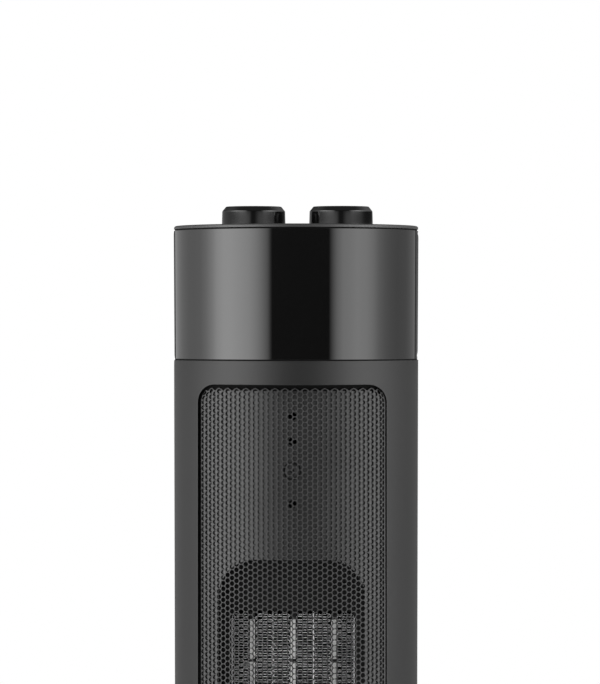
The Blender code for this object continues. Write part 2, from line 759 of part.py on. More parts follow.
def shell_parts(look):
    """The front shell with its lipped opening, the slotted rear shell, and their screws."""
    edge = math.degrees(SEAT_GAP / 2 / BODY_RADIUS)
    low_radius = BODY_RADIUS - BODY_TAPER
    shell = part(
        "front_shell",
        look["satin_black"],
        arc_wall(low_radius, BODY_RADIUS, SHELL_WALL, tower_low, body_high, -90 + edge, 90 - edge),
    )
    middle = (0, opening_middle)
    opening = rounded_rectangle(OPENING_WIDTH, opening_height, OPENING_CORNER, middle)
    lip_edge = rounded_rectangle(
        OPENING_WIDTH + 2 * LIP_WALL, opening_height + 2 * LIP_WALL, OPENING_CORNER + LIP_WALL, middle
    )
    lip = tool(prism(lip_edge, -BODY_RADIUS, 0, along="Y"))
    shell_core = turned(
        [
            (0, tower_low),
            (low_radius - SHELL_WALL / 2, tower_low),
            (BODY_RADIUS - SHELL_WALL / 2, body_high),
            (0, body_high),
        ],
        ROUND_STEPS,
    )
    combine(lip, "INTERSECT", tool(shell_core))
    behind_face = rod(
        liner_face + SEAT_GAP, tower_low - OVERRUN, body_high + OVERRUN, (0, mesh_axis), 2 * ROUND_STEPS
    )
    combine(lip, "DIFFERENCE", tool(behind_face))
    combine(shell, "UNION", lip)
    combine(shell, "DIFFERENCE", tool(prism(opening, -BODY_RADIUS - OVERRUN, 0, along="Y")))
    places = shell_screw_places()
    boss_end = -SEAT_GAP / 2
    bosses = [rod(SHELL_BOSS_RADIUS, -SHELL_BOSS_FRONT, boss_end, at, SCREW_STEPS, "Y") for at in places]
    bores = [
        rod(SCREW_RADIUS + SEAT_GAP, -SHELL_SCREW_BITE - SEAT_GAP, boss_end + OVERRUN, at, SCREW_STEPS, "Y")
        for at in places
    ]
    outside = frame_prism(
        circle(2 * BODY_RADIUS, ROUND_STEPS),
        circle(inner_low + SHELL_WALL / 2, ROUND_STEPS),
        tower_low - OVERRUN,
        body_high + OVERRUN,
    )
    front_bosses = tool(*bosses)
    combine(front_bosses, "DIFFERENCE", tool(outside))
    combine(shell, "UNION", front_bosses)
    combine(shell, "DIFFERENCE", tool(*bores))

    rear = part(
        "rear_shell",
        look["satin_black"],
        arc_wall(low_radius, BODY_RADIUS, SHELL_WALL, tower_low, body_high, 90 + edge, 270 - edge),
    )
    head_seat = SHELL_SCREW_LENGTH - SHELL_SCREW_BITE
    rear_bosses = tool(
        *[
            rod(SHELL_BOSS_RADIUS, SEAT_GAP / 2, SHELL_BOSS_REAR, at, SCREW_STEPS, "Y")
            for at in places
        ]
    )
    combine(rear_bosses, "DIFFERENCE", tool(outside))
    combine(rear, "UNION", rear_bosses)
    rear_bores = [rod(SCREW_RADIUS + SEAT_GAP, -OVERRUN, head_seat, at, SCREW_STEPS, "Y") for at in places]
    head_bores = [
        rod(SCREW_HEAD_RADIUS + SEAT_GAP, head_seat - SEAT_GAP, BODY_RADIUS, at, SCREW_STEPS, "Y")
        for at in places
    ]
    combine(rear, "DIFFERENCE", tool(*rear_bores))
    combine(rear, "DIFFERENCE", tool(*head_bores))
    combine(rear, "DIFFERENCE", tool(*intake_slots()))
    for number, at in enumerate(places, 1):
        part(f"shell_screw_{number}", look["steel"], screw(-SHELL_SCREW_BITE, SHELL_SCREW_LENGTH, at, "Y"))


def intake_slots():
    """Upright slots in rows round the back of the tower, each cut straight towards its axis."""
    slots = []
    for row in range(SLOT_ROWS):
        low = tower_low + SLOT_LOW + row * (SLOT_LENGTH + SLOT_RIB)
        for column in range(SLOT_COLUMNS):
            angle = 180 + SLOT_ANGLE * (column - (SLOT_COLUMNS - 1) / 2)
            out, side = Vector(polar(1, angle)), Vector(polar(1, angle + 90))
            corners = [
                out * reach + side * across
                for reach, across in (
                    (inner_low - OVERRUN, -SLOT_WIDTH / 2),
                    (BODY_RADIUS + OVERRUN, -SLOT_WIDTH / 2),
                    (BODY_RADIUS + OVERRUN, SLOT_WIDTH / 2),
                    (inner_low - OVERRUN, SLOT_WIDTH / 2),
                )
            ]
            slots.append(prism([tuple(c) for c in corners], low, low + SLOT_LENGTH))
    return slots


def hexagon(centre, across_flats):
    radius = across_flats / math.sqrt(3)
    turns = [math.radians(60 * k) for k in range(6)]
    return [(centre[0] + radius * math.cos(t), centre[1] + radius * math.sin(t)) for t in turns]


def mesh_holes(width, low, high):
    """Centres of staggered holes that fit whole inside the sheet, in upright columns."""
    column_step = MESH_PITCH * math.sqrt(3) / 2
    margin = MESH_HOLE / math.sqrt(3) + 2 * MESH_RIM
    half_columns = int((width / 2 - margin) / column_step)
    rows = int((high - low) / 2 / MESH_PITCH) + 1
    centres = []
    for column in range(-half_columns, half_columns + 1):
        offset = MESH_PITCH / 2 if column % 2 else 0
        for row in range(-rows, rows + 1):
            height = (low + high) / 2 + row * MESH_PITCH + offset
            if low + margin < height < high - margin:
                centres.append((column * column_step, height))
    return centres


def divided(outline, counts):
    """An outline with each edge cut into as many equal stretches as its count says."""
    points = []
    for k, start in enumerate(outline):
        end = outline[(k + 1) % len(outline)]
        for s in range(counts[k]):
            share = s / counts[k]
            points.append((start[0] + (end[0] - start[0]) * share, start[1] + (end[1] - start[1]) * share))
    return points


def filled(outline, holes):
    """Triangles between an outline and the six-sided holes inside it, as places in outline + holes."""
    flat = list(outline)
    edges = [(k, (k + 1) % len(flat)) for k in range(len(flat))]
    for hole in holes:
        edges += [(len(flat) + k, len(flat) + (k + 1) % 6) for k in range(6)]
        flat += hole
    found = delaunay_2d_cdt([Vector(p) for p in flat], edges, [], 0, SEAT_GAP / 100)
    first = len(outline)
    triangles = []
    for face in found[2]:
        corners = [found[3][i][0] for i in face]
        owners = {(i - first) // 6 if i >= first else -1 for i in corners}
        if len(owners) > 1 or owners == {-1}:
            triangles.append(corners)
    return triangles


def perforated_sheet():
    """The mesh: a sheet with holes on the mesh's curve, with a rim that turns back to the liner.

    Each point keeps its place from the front, and its depth is that of its layer's curve.
    """
    width = 2 * MESH_RADIUS * math.asin(mesh_half / MESH_RADIUS)
    height = opening_height - 2 * MESH_MARGIN
    corner = OPENING_CORNER - MESH_MARGIN
    middle = (0, opening_middle)
    outer = rounded_rectangle(width, height, corner, middle)
    inner = rounded_rectangle(width - 2 * MESH_RIM, height - 2 * MESH_RIM, corner - MESH_RIM, middle)
    counts = [
        max(1, round(math.dist(point, outer[(k + 1) % len(outer)]) / MESH_STEP))
        for k, point in enumerate(outer)
    ]
    outer, inner = divided(outer, counts), divided(inner, counts)
    centres = mesh_holes(width, opening_middle - height / 2, opening_middle + height / 2)
    holes = [hexagon(centre, MESH_HOLE) for centre in centres]
    hole_points = [point for hole in holes for point in hole]
    sheet_back = MESH_RADIUS - MESH_SHEET
    rim_end = liner_face + SEAT_GAP
    layers = [(outer, MESH_RADIUS), (hole_points, MESH_RADIUS), (inner, sheet_back)]
    layers += [(hole_points, sheet_back), (outer, rim_end), (inner, rim_end)]
    points, starts = [], []
    for outline, radius in layers:
        starts.append(len(points))
        for across, up in outline:
            x = MESH_RADIUS * math.sin(across / MESH_RADIUS)
            points.append((x, mesh_axis - math.sqrt(radius**2 - x**2), up))
    edge = len(outer)
    faces = filled(outer, holes)
    faces += [[i + starts[2] for i in reversed(face)] for face in filled(inner, holes)]
    for first, second in ((0, 4), (4, 5), (5, 2)):
        a, b = starts[first], starts[second]
        faces += [[a + k, a + (k + 1) % edge, b + (k + 1) % edge, b + k] for k in range(edge)]
    for hole in range(len(holes)):
        a, b = starts[1] + 6 * hole, starts[3] + 6 * hole
        faces += [[a + k, b + k, b + (k + 1) % 6, a + (k + 1) % 6] for k in range(6)]
    return points, faces


def grille_parts(look):
    """The perforated mesh, the liner close behind it, and the duct from the liner's arch to the element."""
    part("grille_mesh", look["mesh_metal"], perforated_sheet())

    liner_half = OPENING_WIDTH / 2 + LIP_WALL
    ends = (opening_bottom - LIP_WALL, opening_top + LIP_WALL)
    wall = curved_wall(liner_face, LINER_WALL, liner_half, *ends, mesh_axis)
    liner = part("grille_liner", look["satin_black"], wall)
    ring_height = opening_top - RING_DROP
    ring_end = mesh_axis - liner_face - RING_RISE
    ring_root = ring_end + RING_RISE + LINER_WALL / 2
    combine(liner, "UNION", tool(rod(RING_RADIUS, ring_end, ring_root, (0, ring_height), along="Y")))
    arch = rounded_rectangle(ARCH_WIDTH, arch_height, ARCH_CORNER, (0, arch_middle))
    cuts = [prism(arch, -BODY_RADIUS, 0, along="Y")]
    cuts += [rod(VENT_RADIUS, -BODY_RADIUS, 0, (0, opening_top - drop), along="Y") for drop in VENT_DROPS]
    cuts.append(rod(RING_BORE, -BODY_RADIUS, 0, (0, ring_height), along="Y"))
    combine(liner, "DIFFERENCE", tool(*cuts))

    duct_edge = rounded_rectangle(
        ARCH_WIDTH + 2 * DUCT_WALL, arch_height + 2 * DUCT_WALL, ARCH_CORNER + DUCT_WALL, (0, arch_middle)
    )
    walls = frame_prism(duct_edge, arch, -BODY_RADIUS, -PTC_PLANE - SEAT_GAP, "Y")
    duct = part("outlet_duct", look["inner_black"], walls)
    behind_liner = rod(
        liner_back - SEAT_GAP, tower_low, body_high, (0, mesh_axis), 2 * ROUND_STEPS
    )
    combine(duct, "INTERSECT", tool(behind_liner))


def element_parts(look):
    """The frame that holds the heating element, and the element's tubes, fins and plates."""
    middle = (0, arch_middle)
    flange_edge = rounded_rectangle(
        ARCH_WIDTH + 2 * DUCT_WALL, arch_height + 2 * DUCT_WALL, ARCH_CORNER + DUCT_WALL, middle
    )
    window = rounded_rectangle(window_width, window_height, WINDOW_CORNER, middle)
    flange = frame_prism(flange_edge, window, -PTC_PLANE, flange_back, "Y")
    frame = part("ptc_frame", look["inner_black"], flange)
    pocket_edge = rounded_rectangle(
        pocket_width + 2 * POCKET_WALL, pocket_height + 2 * POCKET_WALL, POCKET_WALL, middle
    )
    pocket_hole = rounded_rectangle(pocket_width, pocket_height, POCKET_SPARE, middle)
    pocket = frame_prism(pocket_edge, pocket_hole, flange_back - PTC_FLANGE / 2, pocket_back, "Y")
    back_edge = rounded_rectangle(
        pocket_width + POCKET_WALL, pocket_height + POCKET_WALL, POCKET_WALL, middle
    )
    back_window = rounded_rectangle(
        element_width - 2 * POCKET_WALL, element_height - 2 * POCKET_WALL, POCKET_WALL, middle
    )
    retainer = frame_prism(back_edge, back_window, pocket_back - POCKET_WALL, pocket_back, "Y")
    combine(frame, "UNION", tool(pocket), tool(retainer))

    front, back = flange_back + SEAT_GAP, flange_back + SEAT_GAP + ELEMENT_DEPTH
    low, high = arch_middle - element_height / 2, arch_middle + element_height / 2
    left = -element_width / 2
    for k in range(UNIT_COUNT + 1):
        at = left + k * UNIT_PITCH
        plate = box((at, at + SIDE_PLATE), (front, back), (low, high))
        block = part(f"fin_block_{k + 1}", look["aluminium"], plate)
        reach = (UNIT_PITCH - SIDE_PLATE - TUBE_WIDTH) / 2 - SEAT_GAP
        fins = []
        if k > 0:
            fins.append(fin_strip(at + SIDE_PLATE / 2, at - reach, front, back, low, high))
        if k < UNIT_COUNT:
            fins.append(fin_strip(at + SIDE_PLATE / 2, at + SIDE_PLATE + reach, front, back, low, high))
        for strip in fins:
            combine(block, "UNION", tool(strip))
    for k in range(UNIT_COUNT):
        centre = left + k * UNIT_PITCH + (UNIT_PITCH + SIDE_PLATE) / 2
        sides = (centre - TUBE_WIDTH / 2, centre + TUBE_WIDTH / 2)
        tube = part(f"heating_tube_{k + 1}", look["aluminium"], box(sides, (front, back), (low, high)))
        tab = box(
            (centre - TERMINAL_WIDTH / 2, centre + TERMINAL_WIDTH / 2),
            (back - TUBE_WIDTH / 2, back + TERMINAL_LENGTH),
            (high - 2 * TERMINAL_HEIGHT, high - TERMINAL_HEIGHT),
        )
        combine(tube, "UNION", tool(tab))

    cutout_height = (arch_top + arch_middle + pocket_height / 2 + POCKET_WALL) / 2
    cutout_front = flange_back + SEAT_GAP
    part(
        "thermal_cutout",
        look["aluminium"],
        rod(CUTOUT_RADIUS, cutout_front, cutout_front + CUTOUT_LENGTH, (0, cutout_height), along="Y"),
    )


def fin_strip(start, end, front, back, low, high):
    """One corrugated fin: a thin strip folded to and fro between its plate and its tube as it climbs."""
    climb = (high - low) / FIN_WALLS
    lean = FIN_SHEET * math.hypot(end - start, climb) / climb / 2
    side = math.copysign(lean, end - start)
    turns = (start + side, end - side)
    line = [(turns[k % 2], low + k * climb) for k in range(FIN_WALLS + 1)]
    outline = [(x - lean, z) for x, z in line] + [(x + lean, z) for x, z in reversed(line)]
    return prism(outline, front, back, along="Y")


def fan_housing_parts(look):
    """The scroll and tongue that guide the air round the fan, between two end plates."""
    scroll_half = pocket_width / 2
    near = FAN_RADIUS + FAN_TIP_GAP
    inner, outer = [(-scroll_half, housing_front)], [(-scroll_half - SCROLL_WALL, housing_front)]
    for k in range(END_STEPS + 1):
        share = k / END_STEPS
        turn = math.radians(180 - SCROLL_SWEEP * share)
        radius = scroll_half + (near - scroll_half) * share
        inner.append((radius * math.cos(turn), FAN_SETBACK + radius * math.sin(turn)))
        outside = radius + SCROLL_WALL
        outer.append((outside * math.cos(turn), FAN_SETBACK + outside * math.sin(turn)))
    walls = (fan_plate_low + SEAT_GAP, fan_plate_high - SEAT_GAP)
    part("fan_scroll", look["inner_black"], prism(inner + outer[::-1], *walls))

    tip_turn = math.radians(-TONGUE_TURN)
    tip = (near * math.cos(tip_turn), FAN_SETBACK + near * math.sin(tip_turn))
    tongue = [
        (scroll_half, housing_front),
        (scroll_half + SCROLL_WALL, housing_front),
        (scroll_half + SCROLL_WALL, tip[1] - SCROLL_WALL),
        (tip[0] + SCROLL_WALL, tip[1] + SCROLL_WALL),
        tip,
        (scroll_half, tip[1] - near / 2),
    ]
    tongue_wall = prism(tongue, fan_plate_low - FAN_PLATE / 2, walls[1])

    plate = [(housing_half, housing_front)]
    for k in range(SMALL_STEPS + 1):
        turn = math.radians(180 * k / SMALL_STEPS)
        plate.append((housing_half * math.cos(turn), FAN_SETBACK + housing_half * math.sin(turn)))
    plate.append((-housing_half, housing_front))
    centre = (0, FAN_SETBACK)
    top = part("fan_top_plate", look["inner_black"], prism(plate, fan_plate_high, fan_plate_high + FAN_PLATE))
    shaft_hole = rod(
        FAN_SHAFT_RADIUS + 2 * RUN_GAP, fan_plate_high - OVERRUN, fan_plate_high + FAN_PLATE + OVERRUN, centre
    )
    posts = [
        rod(
            MOTOR_POST_RADIUS,
            fan_plate_high + FAN_PLATE / 2,
            motor_bracket_low - SEAT_GAP,
            (side * MOTOR_POST_SPREAD, FAN_SETBACK),
        )
        for side in (-1, 1)
    ]
    combine(top, "DIFFERENCE", tool(shaft_hole))
    combine(top, "UNION", tool(*posts))
    floor = prism(plate, fan_plate_low - FAN_PLATE, fan_plate_low)
    bottom = part("fan_bottom_plate", look["inner_black"], floor)
    bearing_hole = rod(
        LOWER_BEARING_RADIUS + SEAT_GAP, fan_plate_low - FAN_PLATE - OVERRUN, fan_plate_low + OVERRUN, centre
    )
    combine(bottom, "DIFFERENCE", tool(bearing_hole))
    combine(bottom, "UNION", tool(tongue_wall))
    bearing_high = fan_plate_low
    part(
        "lower_bearing",
        look["copper"],
        bush(
            LOWER_BEARING_RADIUS,
            FAN_SHAFT_RADIUS + SEAT_GAP,
            bearing_high - LOWER_BEARING_HEIGHT,
            bearing_high,
            centre,
        ),
    )


def blade(turn):
    """One curved fan blade, as a flat outline at a turn round the fan's axis."""
    outline = []
    for side in (0, 1):
        stations = (0, 0.5, 1) if side == 0 else (1, 0.5, 0)
        for share in stations:
            radius = FAN_BLADE_ROOT + (FAN_RADIUS - BLADE_SHEET - FAN_BLADE_ROOT) * share
            sweep = turn + math.radians(BLADE_SWEEP * share**2) + side * BLADE_SHEET / radius
            outline.append((radius * math.cos(sweep), FAN_SETBACK + radius * math.sin(sweep)))
    return outline


def fan_parts(look):
    """The cross-flow fan, its long shaft and the motor's rotor, which turn together."""
    axis = joint_axis("fan_axis", (0, FAN_SETBACK, 0))
    centre = (0, FAN_SETBACK)
    discs = [
        bush(FAN_RADIUS, FAN_SHAFT_RADIUS + SEAT_GAP, low, low + FAN_DISC, centre, MEDIUM_STEPS)
        for low in (fan_low, fan_high - FAN_DISC)
    ]
    impeller = part("fan_impeller", look["grey_nylon"], *discs, joint=axis)
    span = (fan_low + FAN_DISC / 2, fan_high - FAN_DISC / 2)
    blades = [prism(blade(2 * math.pi * k / FAN_BLADES), *span) for k in range(FAN_BLADES)]
    combine(impeller, "UNION", tool(*blades))

    shaft_low = fan_plate_low - LOWER_BEARING_HEIGHT - SHAFT_TAIL
    shaft_high = motor_bracket_high + BRACKET_SHEET + MOTOR_BEARING_HEIGHT
    shaft = part("fan_shaft", look["steel"], rod(FAN_SHAFT_RADIUS, shaft_low, shaft_high, centre), joint=axis)
    rotor = rod(ROTOR_RADIUS, core_low - ROTOR_PROUD, core_high + ROTOR_PROUD, centre, MEDIUM_STEPS)
    combine(shaft, "UNION", tool(rotor))


def fan_motor_parts(look):
    """The shaded-pole motor above the fan: core, coil, two bearing brackets and its posts."""
    centre = (0, FAN_SETBACK)
    half = CORE_WIDTH / 2
    front, back = FAN_SETBACK - CORE_FRONT, FAN_SETBACK + CORE_BACK
    core = part("motor_core", look["iron"], box((-half, half), (front, back), (core_low, core_high)))
    span = (core_low - OVERRUN, core_high + OVERRUN)
    bore = ROTOR_RADIUS + ROTOR_AIR_GAP
    window = (FAN_SETBACK + bore + CORE_BRIDGE, back - CORE_LIMB)
    half_window = CORE_WINDOW_WIDTH / 2
    combine(
        core,
        "DIFFERENCE",
        tool(rod(bore, *span, centre, MEDIUM_STEPS), box((-half_window, half_window), window, span)),
    )

    half_coil = COIL_WIDTH / 2
    coil_front = back - CORE_LIMB - COIL_WRAP
    coil_span = (core_low - COIL_WRAP, core_high + COIL_WRAP)
    winding = box((-half_coil, half_coil), (coil_front, back + COIL_WRAP), coil_span)
    coil = part("motor_coil", look["copper"], winding)
    limb = box(
        (-half_coil - OVERRUN, half_coil + OVERRUN),
        (back - CORE_LIMB - SEAT_GAP, back + SEAT_GAP),
        (core_low - SEAT_GAP, core_high + SEAT_GAP),
    )
    combine(coil, "DIFFERENCE", tool(limb))

    reach = MOTOR_POST_SPREAD + MOTOR_POST_RADIUS
    foot = reach - BRACKET_SHEET
    for name, seat, sheet in (
        ("motor_lower_bracket", core_low - SEAT_GAP, motor_bracket_low),
        ("motor_upper_bracket", core_high + SEAT_GAP, motor_bracket_high + BRACKET_SHEET),
    ):
        inside = sheet + (BRACKET_SHEET if sheet < seat else -BRACKET_SHEET)
        outline = [
            (-reach, seat),
            (-foot, seat),
            (-foot, inside),
            (foot, inside),
            (foot, seat),
            (reach, seat),
            (reach, sheet),
            (-reach, sheet),
        ]
        bracket = part(
            name,
            look["steel"],
            prism(outline, FAN_SETBACK - BRACKET_WIDTH / 2, FAN_SETBACK + BRACKET_WIDTH / 2, along="Y"),
        )
        bearing_low = min(sheet, inside)
        bearing_high = bearing_low + MOTOR_BEARING_HEIGHT
        bore = rod(FAN_SHAFT_RADIUS + SEAT_GAP, bearing_low - OVERRUN, bearing_high + OVERRUN, centre)
        combine(bracket, "UNION", tool(rod(MOTOR_BEARING_RADIUS, bearing_low, bearing_high, centre)))
        combine(bracket, "DIFFERENCE", tool(bore))


def head_parts(look):
    """The deck between body and head, the glossy front panel, the rear cover, the cap and the hand grip."""
    section = [
        (0, seam_height - DECK_PLATE / 2),
        (spigot_radius - SPIGOT_WALL, seam_height - DECK_PLATE / 2),
        (spigot_radius - SPIGOT_WALL, seam_height - SPIGOT_DEPTH),
        (spigot_radius, seam_height - SPIGOT_DEPTH),
        (spigot_radius, seam_height + SPIGOT_DEPTH),
        (spigot_radius - SPIGOT_WALL, seam_height + SPIGOT_DEPTH),
        (spigot_radius - SPIGOT_WALL, seam_height + DECK_PLATE / 2),
        (0, seam_height + DECK_PLATE / 2),
    ]
    deck = part("head_deck", look["inner_black"], turned(section, ROUND_STEPS))
    span = (seam_height - DECK_PLATE / 2 - OVERRUN, seam_height + DECK_PLATE / 2 + OVERRUN)
    combine(deck, "DIFFERENCE", tool(rod(2 * LOOM_RADIUS, *span, loom_column())))

    low_radius = CAP_RADIUS - HEAD_TAPER
    edge = math.degrees(SEAT_GAP / 2 / BODY_RADIUS)
    wrap = PANEL_HALF_ANGLE
    part(
        "head_front_panel",
        look["gloss_black"],
        arc_wall(low_radius, CAP_RADIUS, HEAD_WALL, head_low, head_high, -wrap + edge, wrap - edge),
    )
    cover = part(
        "head_rear_cover",
        look["satin_black"],
        arc_wall(low_radius, CAP_RADIUS, HEAD_WALL, head_low, head_high, wrap + edge, 360 - wrap - edge),
    )
    grip_middle = (0, head_high - HANDLE_DROP)
    grip = rounded_rectangle(HANDLE_WIDTH, HANDLE_HEIGHT, HANDLE_CORNER, grip_middle)
    combine(cover, "DIFFERENCE", tool(prism(grip, 0, BODY_RADIUS + OVERRUN, along="Y")))
    grip_back = rounded_rectangle(
        HANDLE_WIDTH + 2 * HANDLE_WALL,
        HANDLE_HEIGHT + 2 * HANDLE_WALL,
        HANDLE_CORNER + HANDLE_WALL,
        grip_middle,
    )
    cup_front = BODY_RADIUS - HANDLE_DEPTH
    block = prism(grip_back, cup_front - HANDLE_WALL, BODY_RADIUS, along="Y")
    cup = part("handle_cup", look["satin_black"], block)
    inside_cover = rod(spigot_radius, head_low, head_high, (0, 0), 2 * ROUND_STEPS)
    combine(cup, "INTERSECT", tool(inside_cover))
    combine(cup, "DIFFERENCE", tool(prism(grip, cup_front, BODY_RADIUS + OVERRUN, along="Y")))

    section = [
        (0, CAP_TOP),
        (CAP_RADIUS - CAP_ROUND, CAP_TOP),
        (CAP_RADIUS - EDGE_SHARE * CAP_ROUND, CAP_TOP - EDGE_SHARE * CAP_ROUND),
        (CAP_RADIUS, CAP_TOP - CAP_ROUND),
        (CAP_RADIUS, cap_under),
        (spigot_radius, cap_under),
        (spigot_radius, head_high - SPIGOT_DEPTH),
        (spigot_radius - SPIGOT_WALL, head_high - SPIGOT_DEPTH),
        (spigot_radius - SPIGOT_WALL, cap_ceiling),
        (0, cap_ceiling),
    ]
    cap = part("top_cap", look["satin_black"], turned(section, ROUND_STEPS))
    span = (cap_ceiling - OVERRUN, CAP_TOP + OVERRUN)
    holes = [rod(NECK_RADIUS + SEAT_GAP, *span, place) for place in knob_places.values()]
    holes.append(rod(BUTTON_RADIUS + RUN_GAP, *span, (0, BUTTON_SETBACK)))
    combine(cap, "DIFFERENCE", tool(*holes))


def knob_parts(look, kind):
    """A hollow turned knob with a pointer groove, and the shaft that it sits on."""
    centre = knob_places[kind]
    axis = joint_axis(f"{kind}_axis", (*centre, 0))
    bore = SHAFT_RADIUS + SEAT_GAP
    ceiling = knob_high - KNOB_WALL
    boss_low = knob_low + NUT_HEIGHT + KNOB_BOSS_INSET
    slope = KNOB_RADIUS - KNOB_DRAFT
    section = [
        (KNOB_RADIUS, knob_low),
        (slope, knob_high - KNOB_EDGE),
        (slope - EDGE_SHARE * KNOB_EDGE, knob_high - EDGE_SHARE * KNOB_EDGE),
        (slope - KNOB_EDGE, knob_high),
        (0, knob_high),
        (0, ceiling),
        (bore, ceiling),
        (bore, boss_low),
        (KNOB_BOSS, boss_low),
        (KNOB_BOSS, ceiling),
        (slope - KNOB_WALL, ceiling),
        (KNOB_RADIUS - KNOB_WALL, knob_low),
    ]
    knob = part(f"{kind}_knob", look["knob_black"], turned(section, KNOB_STEPS, centre), joint=axis)
    groove = box(
        (centre[0] - POINTER_WIDTH / 2, centre[0] + POINTER_WIDTH / 2),
        (centre[1] - slope + KNOB_EDGE, centre[1] - POINTER_FROM),
        (knob_high - POINTER_DEPTH, knob_high + OVERRUN),
    )
    combine(knob, "DIFFERENCE", tool(groove))
    shaft_low = control_top - NECK_HEIGHT - SHAFT_ENTRY
    part(
        f"{kind}_shaft",
        look["steel"],
        rod(SHAFT_RADIUS, shaft_low, ceiling - SEAT_GAP, centre),
        joint=axis,
    )


def control_body(name, material, centre, half_x, half_y, height):
    """A control's housing with its threaded neck, its shaft bore and two terminal tabs."""
    top = control_top - NECK_HEIGHT
    low = top - height
    body = part(
        name,
        material,
        box((centre[0] - half_x, centre[0] + half_x), (centre[1] - half_y, centre[1] + half_y), (low, top)),
    )
    neck = rod(NECK_RADIUS, top - NECK_HEIGHT / 2, nut_high, centre)
    shoulder = rod(2 * NECK_RADIUS, top - NECK_HEIGHT / 2, control_top, centre)
    tabs = [
        box(
            (centre[0] + side * half_x / 2 - TAB_SHEET / 2, centre[0] + side * half_x / 2 + TAB_SHEET / 2),
            (centre[1] - TAB_WIDTH / 2, centre[1] + TAB_WIDTH / 2),
            (low - TAB_LENGTH, low + TAB_SHEET),
        )
        for side in (-1, 1)
    ]
    bore = rod(SHAFT_RADIUS + RUN_GAP, top - SHAFT_ENTRY - RUN_GAP, nut_high + OVERRUN, centre)
    combine(body, "UNION", tool(*tabs), tool(shoulder), tool(neck))
    combine(body, "DIFFERENCE", tool(bore))
    return body


def control_parts(look):
    """The mode switch and the thermostat under the cap, with the nuts that hold them."""
    half = MODE_BODY / 2
    control_body("mode_switch", look["white_nylon"], knob_places["mode"], half, half, MODE_BODY_HEIGHT)
    control_body(
        "thermostat",
        look["steel"],
        knob_places["thermostat"],
        THERMOSTAT_WIDTH / 2,
        THERMOSTAT_DEPTH / 2,
        THERMOSTAT_HEIGHT,
    )
    nut_low = CAP_TOP + SEAT_GAP
    for kind, place in knob_places.items():
        flats = divided(hexagon(place, 2 * NUT_RADIUS), [2] * 6)
        nut = frame_prism(flats, circle(NECK_RADIUS + SEAT_GAP, SMALL_STEPS, place), nut_low, nut_high)
        part(f"{kind}_nut", look["steel"], nut)


def small_control_parts(look):
    """The low swing button behind the knobs, its switch, the pilot lens and the terminal block."""
    centre = (0, BUTTON_SETBACK)
    axis = joint_axis("button_axis", (*centre, 0))
    flange_high = cap_ceiling - SEAT_GAP
    flange_low = flange_high - BUTTON_FLANGE_HEIGHT
    stem_low = flange_low - BUTTON_TRAVEL - 2 * SEAT_GAP
    top = CAP_TOP + BUTTON_PROUD
    section = [
        (0, top),
        (BUTTON_RADIUS - BUTTON_ROUND, top),
        (BUTTON_RADIUS, top - BUTTON_ROUND),
        (BUTTON_RADIUS, flange_high),
        (BUTTON_RADIUS + BUTTON_FLANGE, flange_high),
        (BUTTON_RADIUS + BUTTON_FLANGE, flange_low),
        (BUTTON_STEM, flange_low),
        (BUTTON_STEM, stem_low),
        (0, stem_low),
    ]
    part("swing_button", look["knob_black"], turned(section, 20, centre), joint=axis)
    half = SWING_SWITCH_WIDTH / 2
    switch_high = flange_low - BUTTON_TRAVEL - SEAT_GAP
    frame_low = switch_high - SWING_SWITCH_HEIGHT
    depth = (centre[1] - half, centre[1] + half)
    switch = part("swing_switch", look["grey_nylon"], box((-half, half), depth, (frame_low, switch_high)))
    ear = (half - SEAT_GAP, half + BUTTON_STEM)
    ears = [
        box(tuple(sorted((s * ear[0], s * ear[1]))), depth, (frame_low, control_top))
        for s in (-1, 1)
    ]
    well = rod(
        BUTTON_STEM + RUN_GAP, stem_low - BUTTON_TRAVEL - SEAT_GAP, switch_high + OVERRUN, centre
    )
    combine(switch, "UNION", tool(*ears))
    combine(switch, "DIFFERENCE", tool(well))


def loom_column():
    """Where the wires climb, beside the fan's housing."""
    return -(housing_half + inner_low) / 2, FAN_SETBACK / 2


def loom_route():
    """The wires' way from the hollow post, up beside the fan, through the head's deck to the mode switch."""
    side, back = loom_column()
    switch_x, switch_y = knob_places["mode"]
    bend = LOOM_RADIUS * 6
    climb_low = floor_high + 2 * bend
    climb_high = seam_height - SPIGOT_DEPTH - bend
    switch_low = control_top - NECK_HEIGHT - MODE_BODY_HEIGHT
    return [
        (0, 0, plate_high + LOOM_RADIUS),
        (0, 0, post_top),
        (0, 0, post_top + bend / 2),
        (side / 4, back / 4, post_top + bend),
        (3 * side / 4, 3 * back / 4, climb_low),
        (side, back, climb_low + bend),
        (side, back, (climb_low + climb_high) / 2),
        (side, back, climb_high),
        (side, back, seam_height + bend / 2),
        ((side + switch_x) / 2, (back + switch_y) / 2, seam_height + 2 * bend),
        (switch_x, switch_y, switch_low - bend),
        (switch_x, switch_y, switch_low - bend / 2),
        (switch_x, switch_y, switch_low - RUN_GAP),
    ]


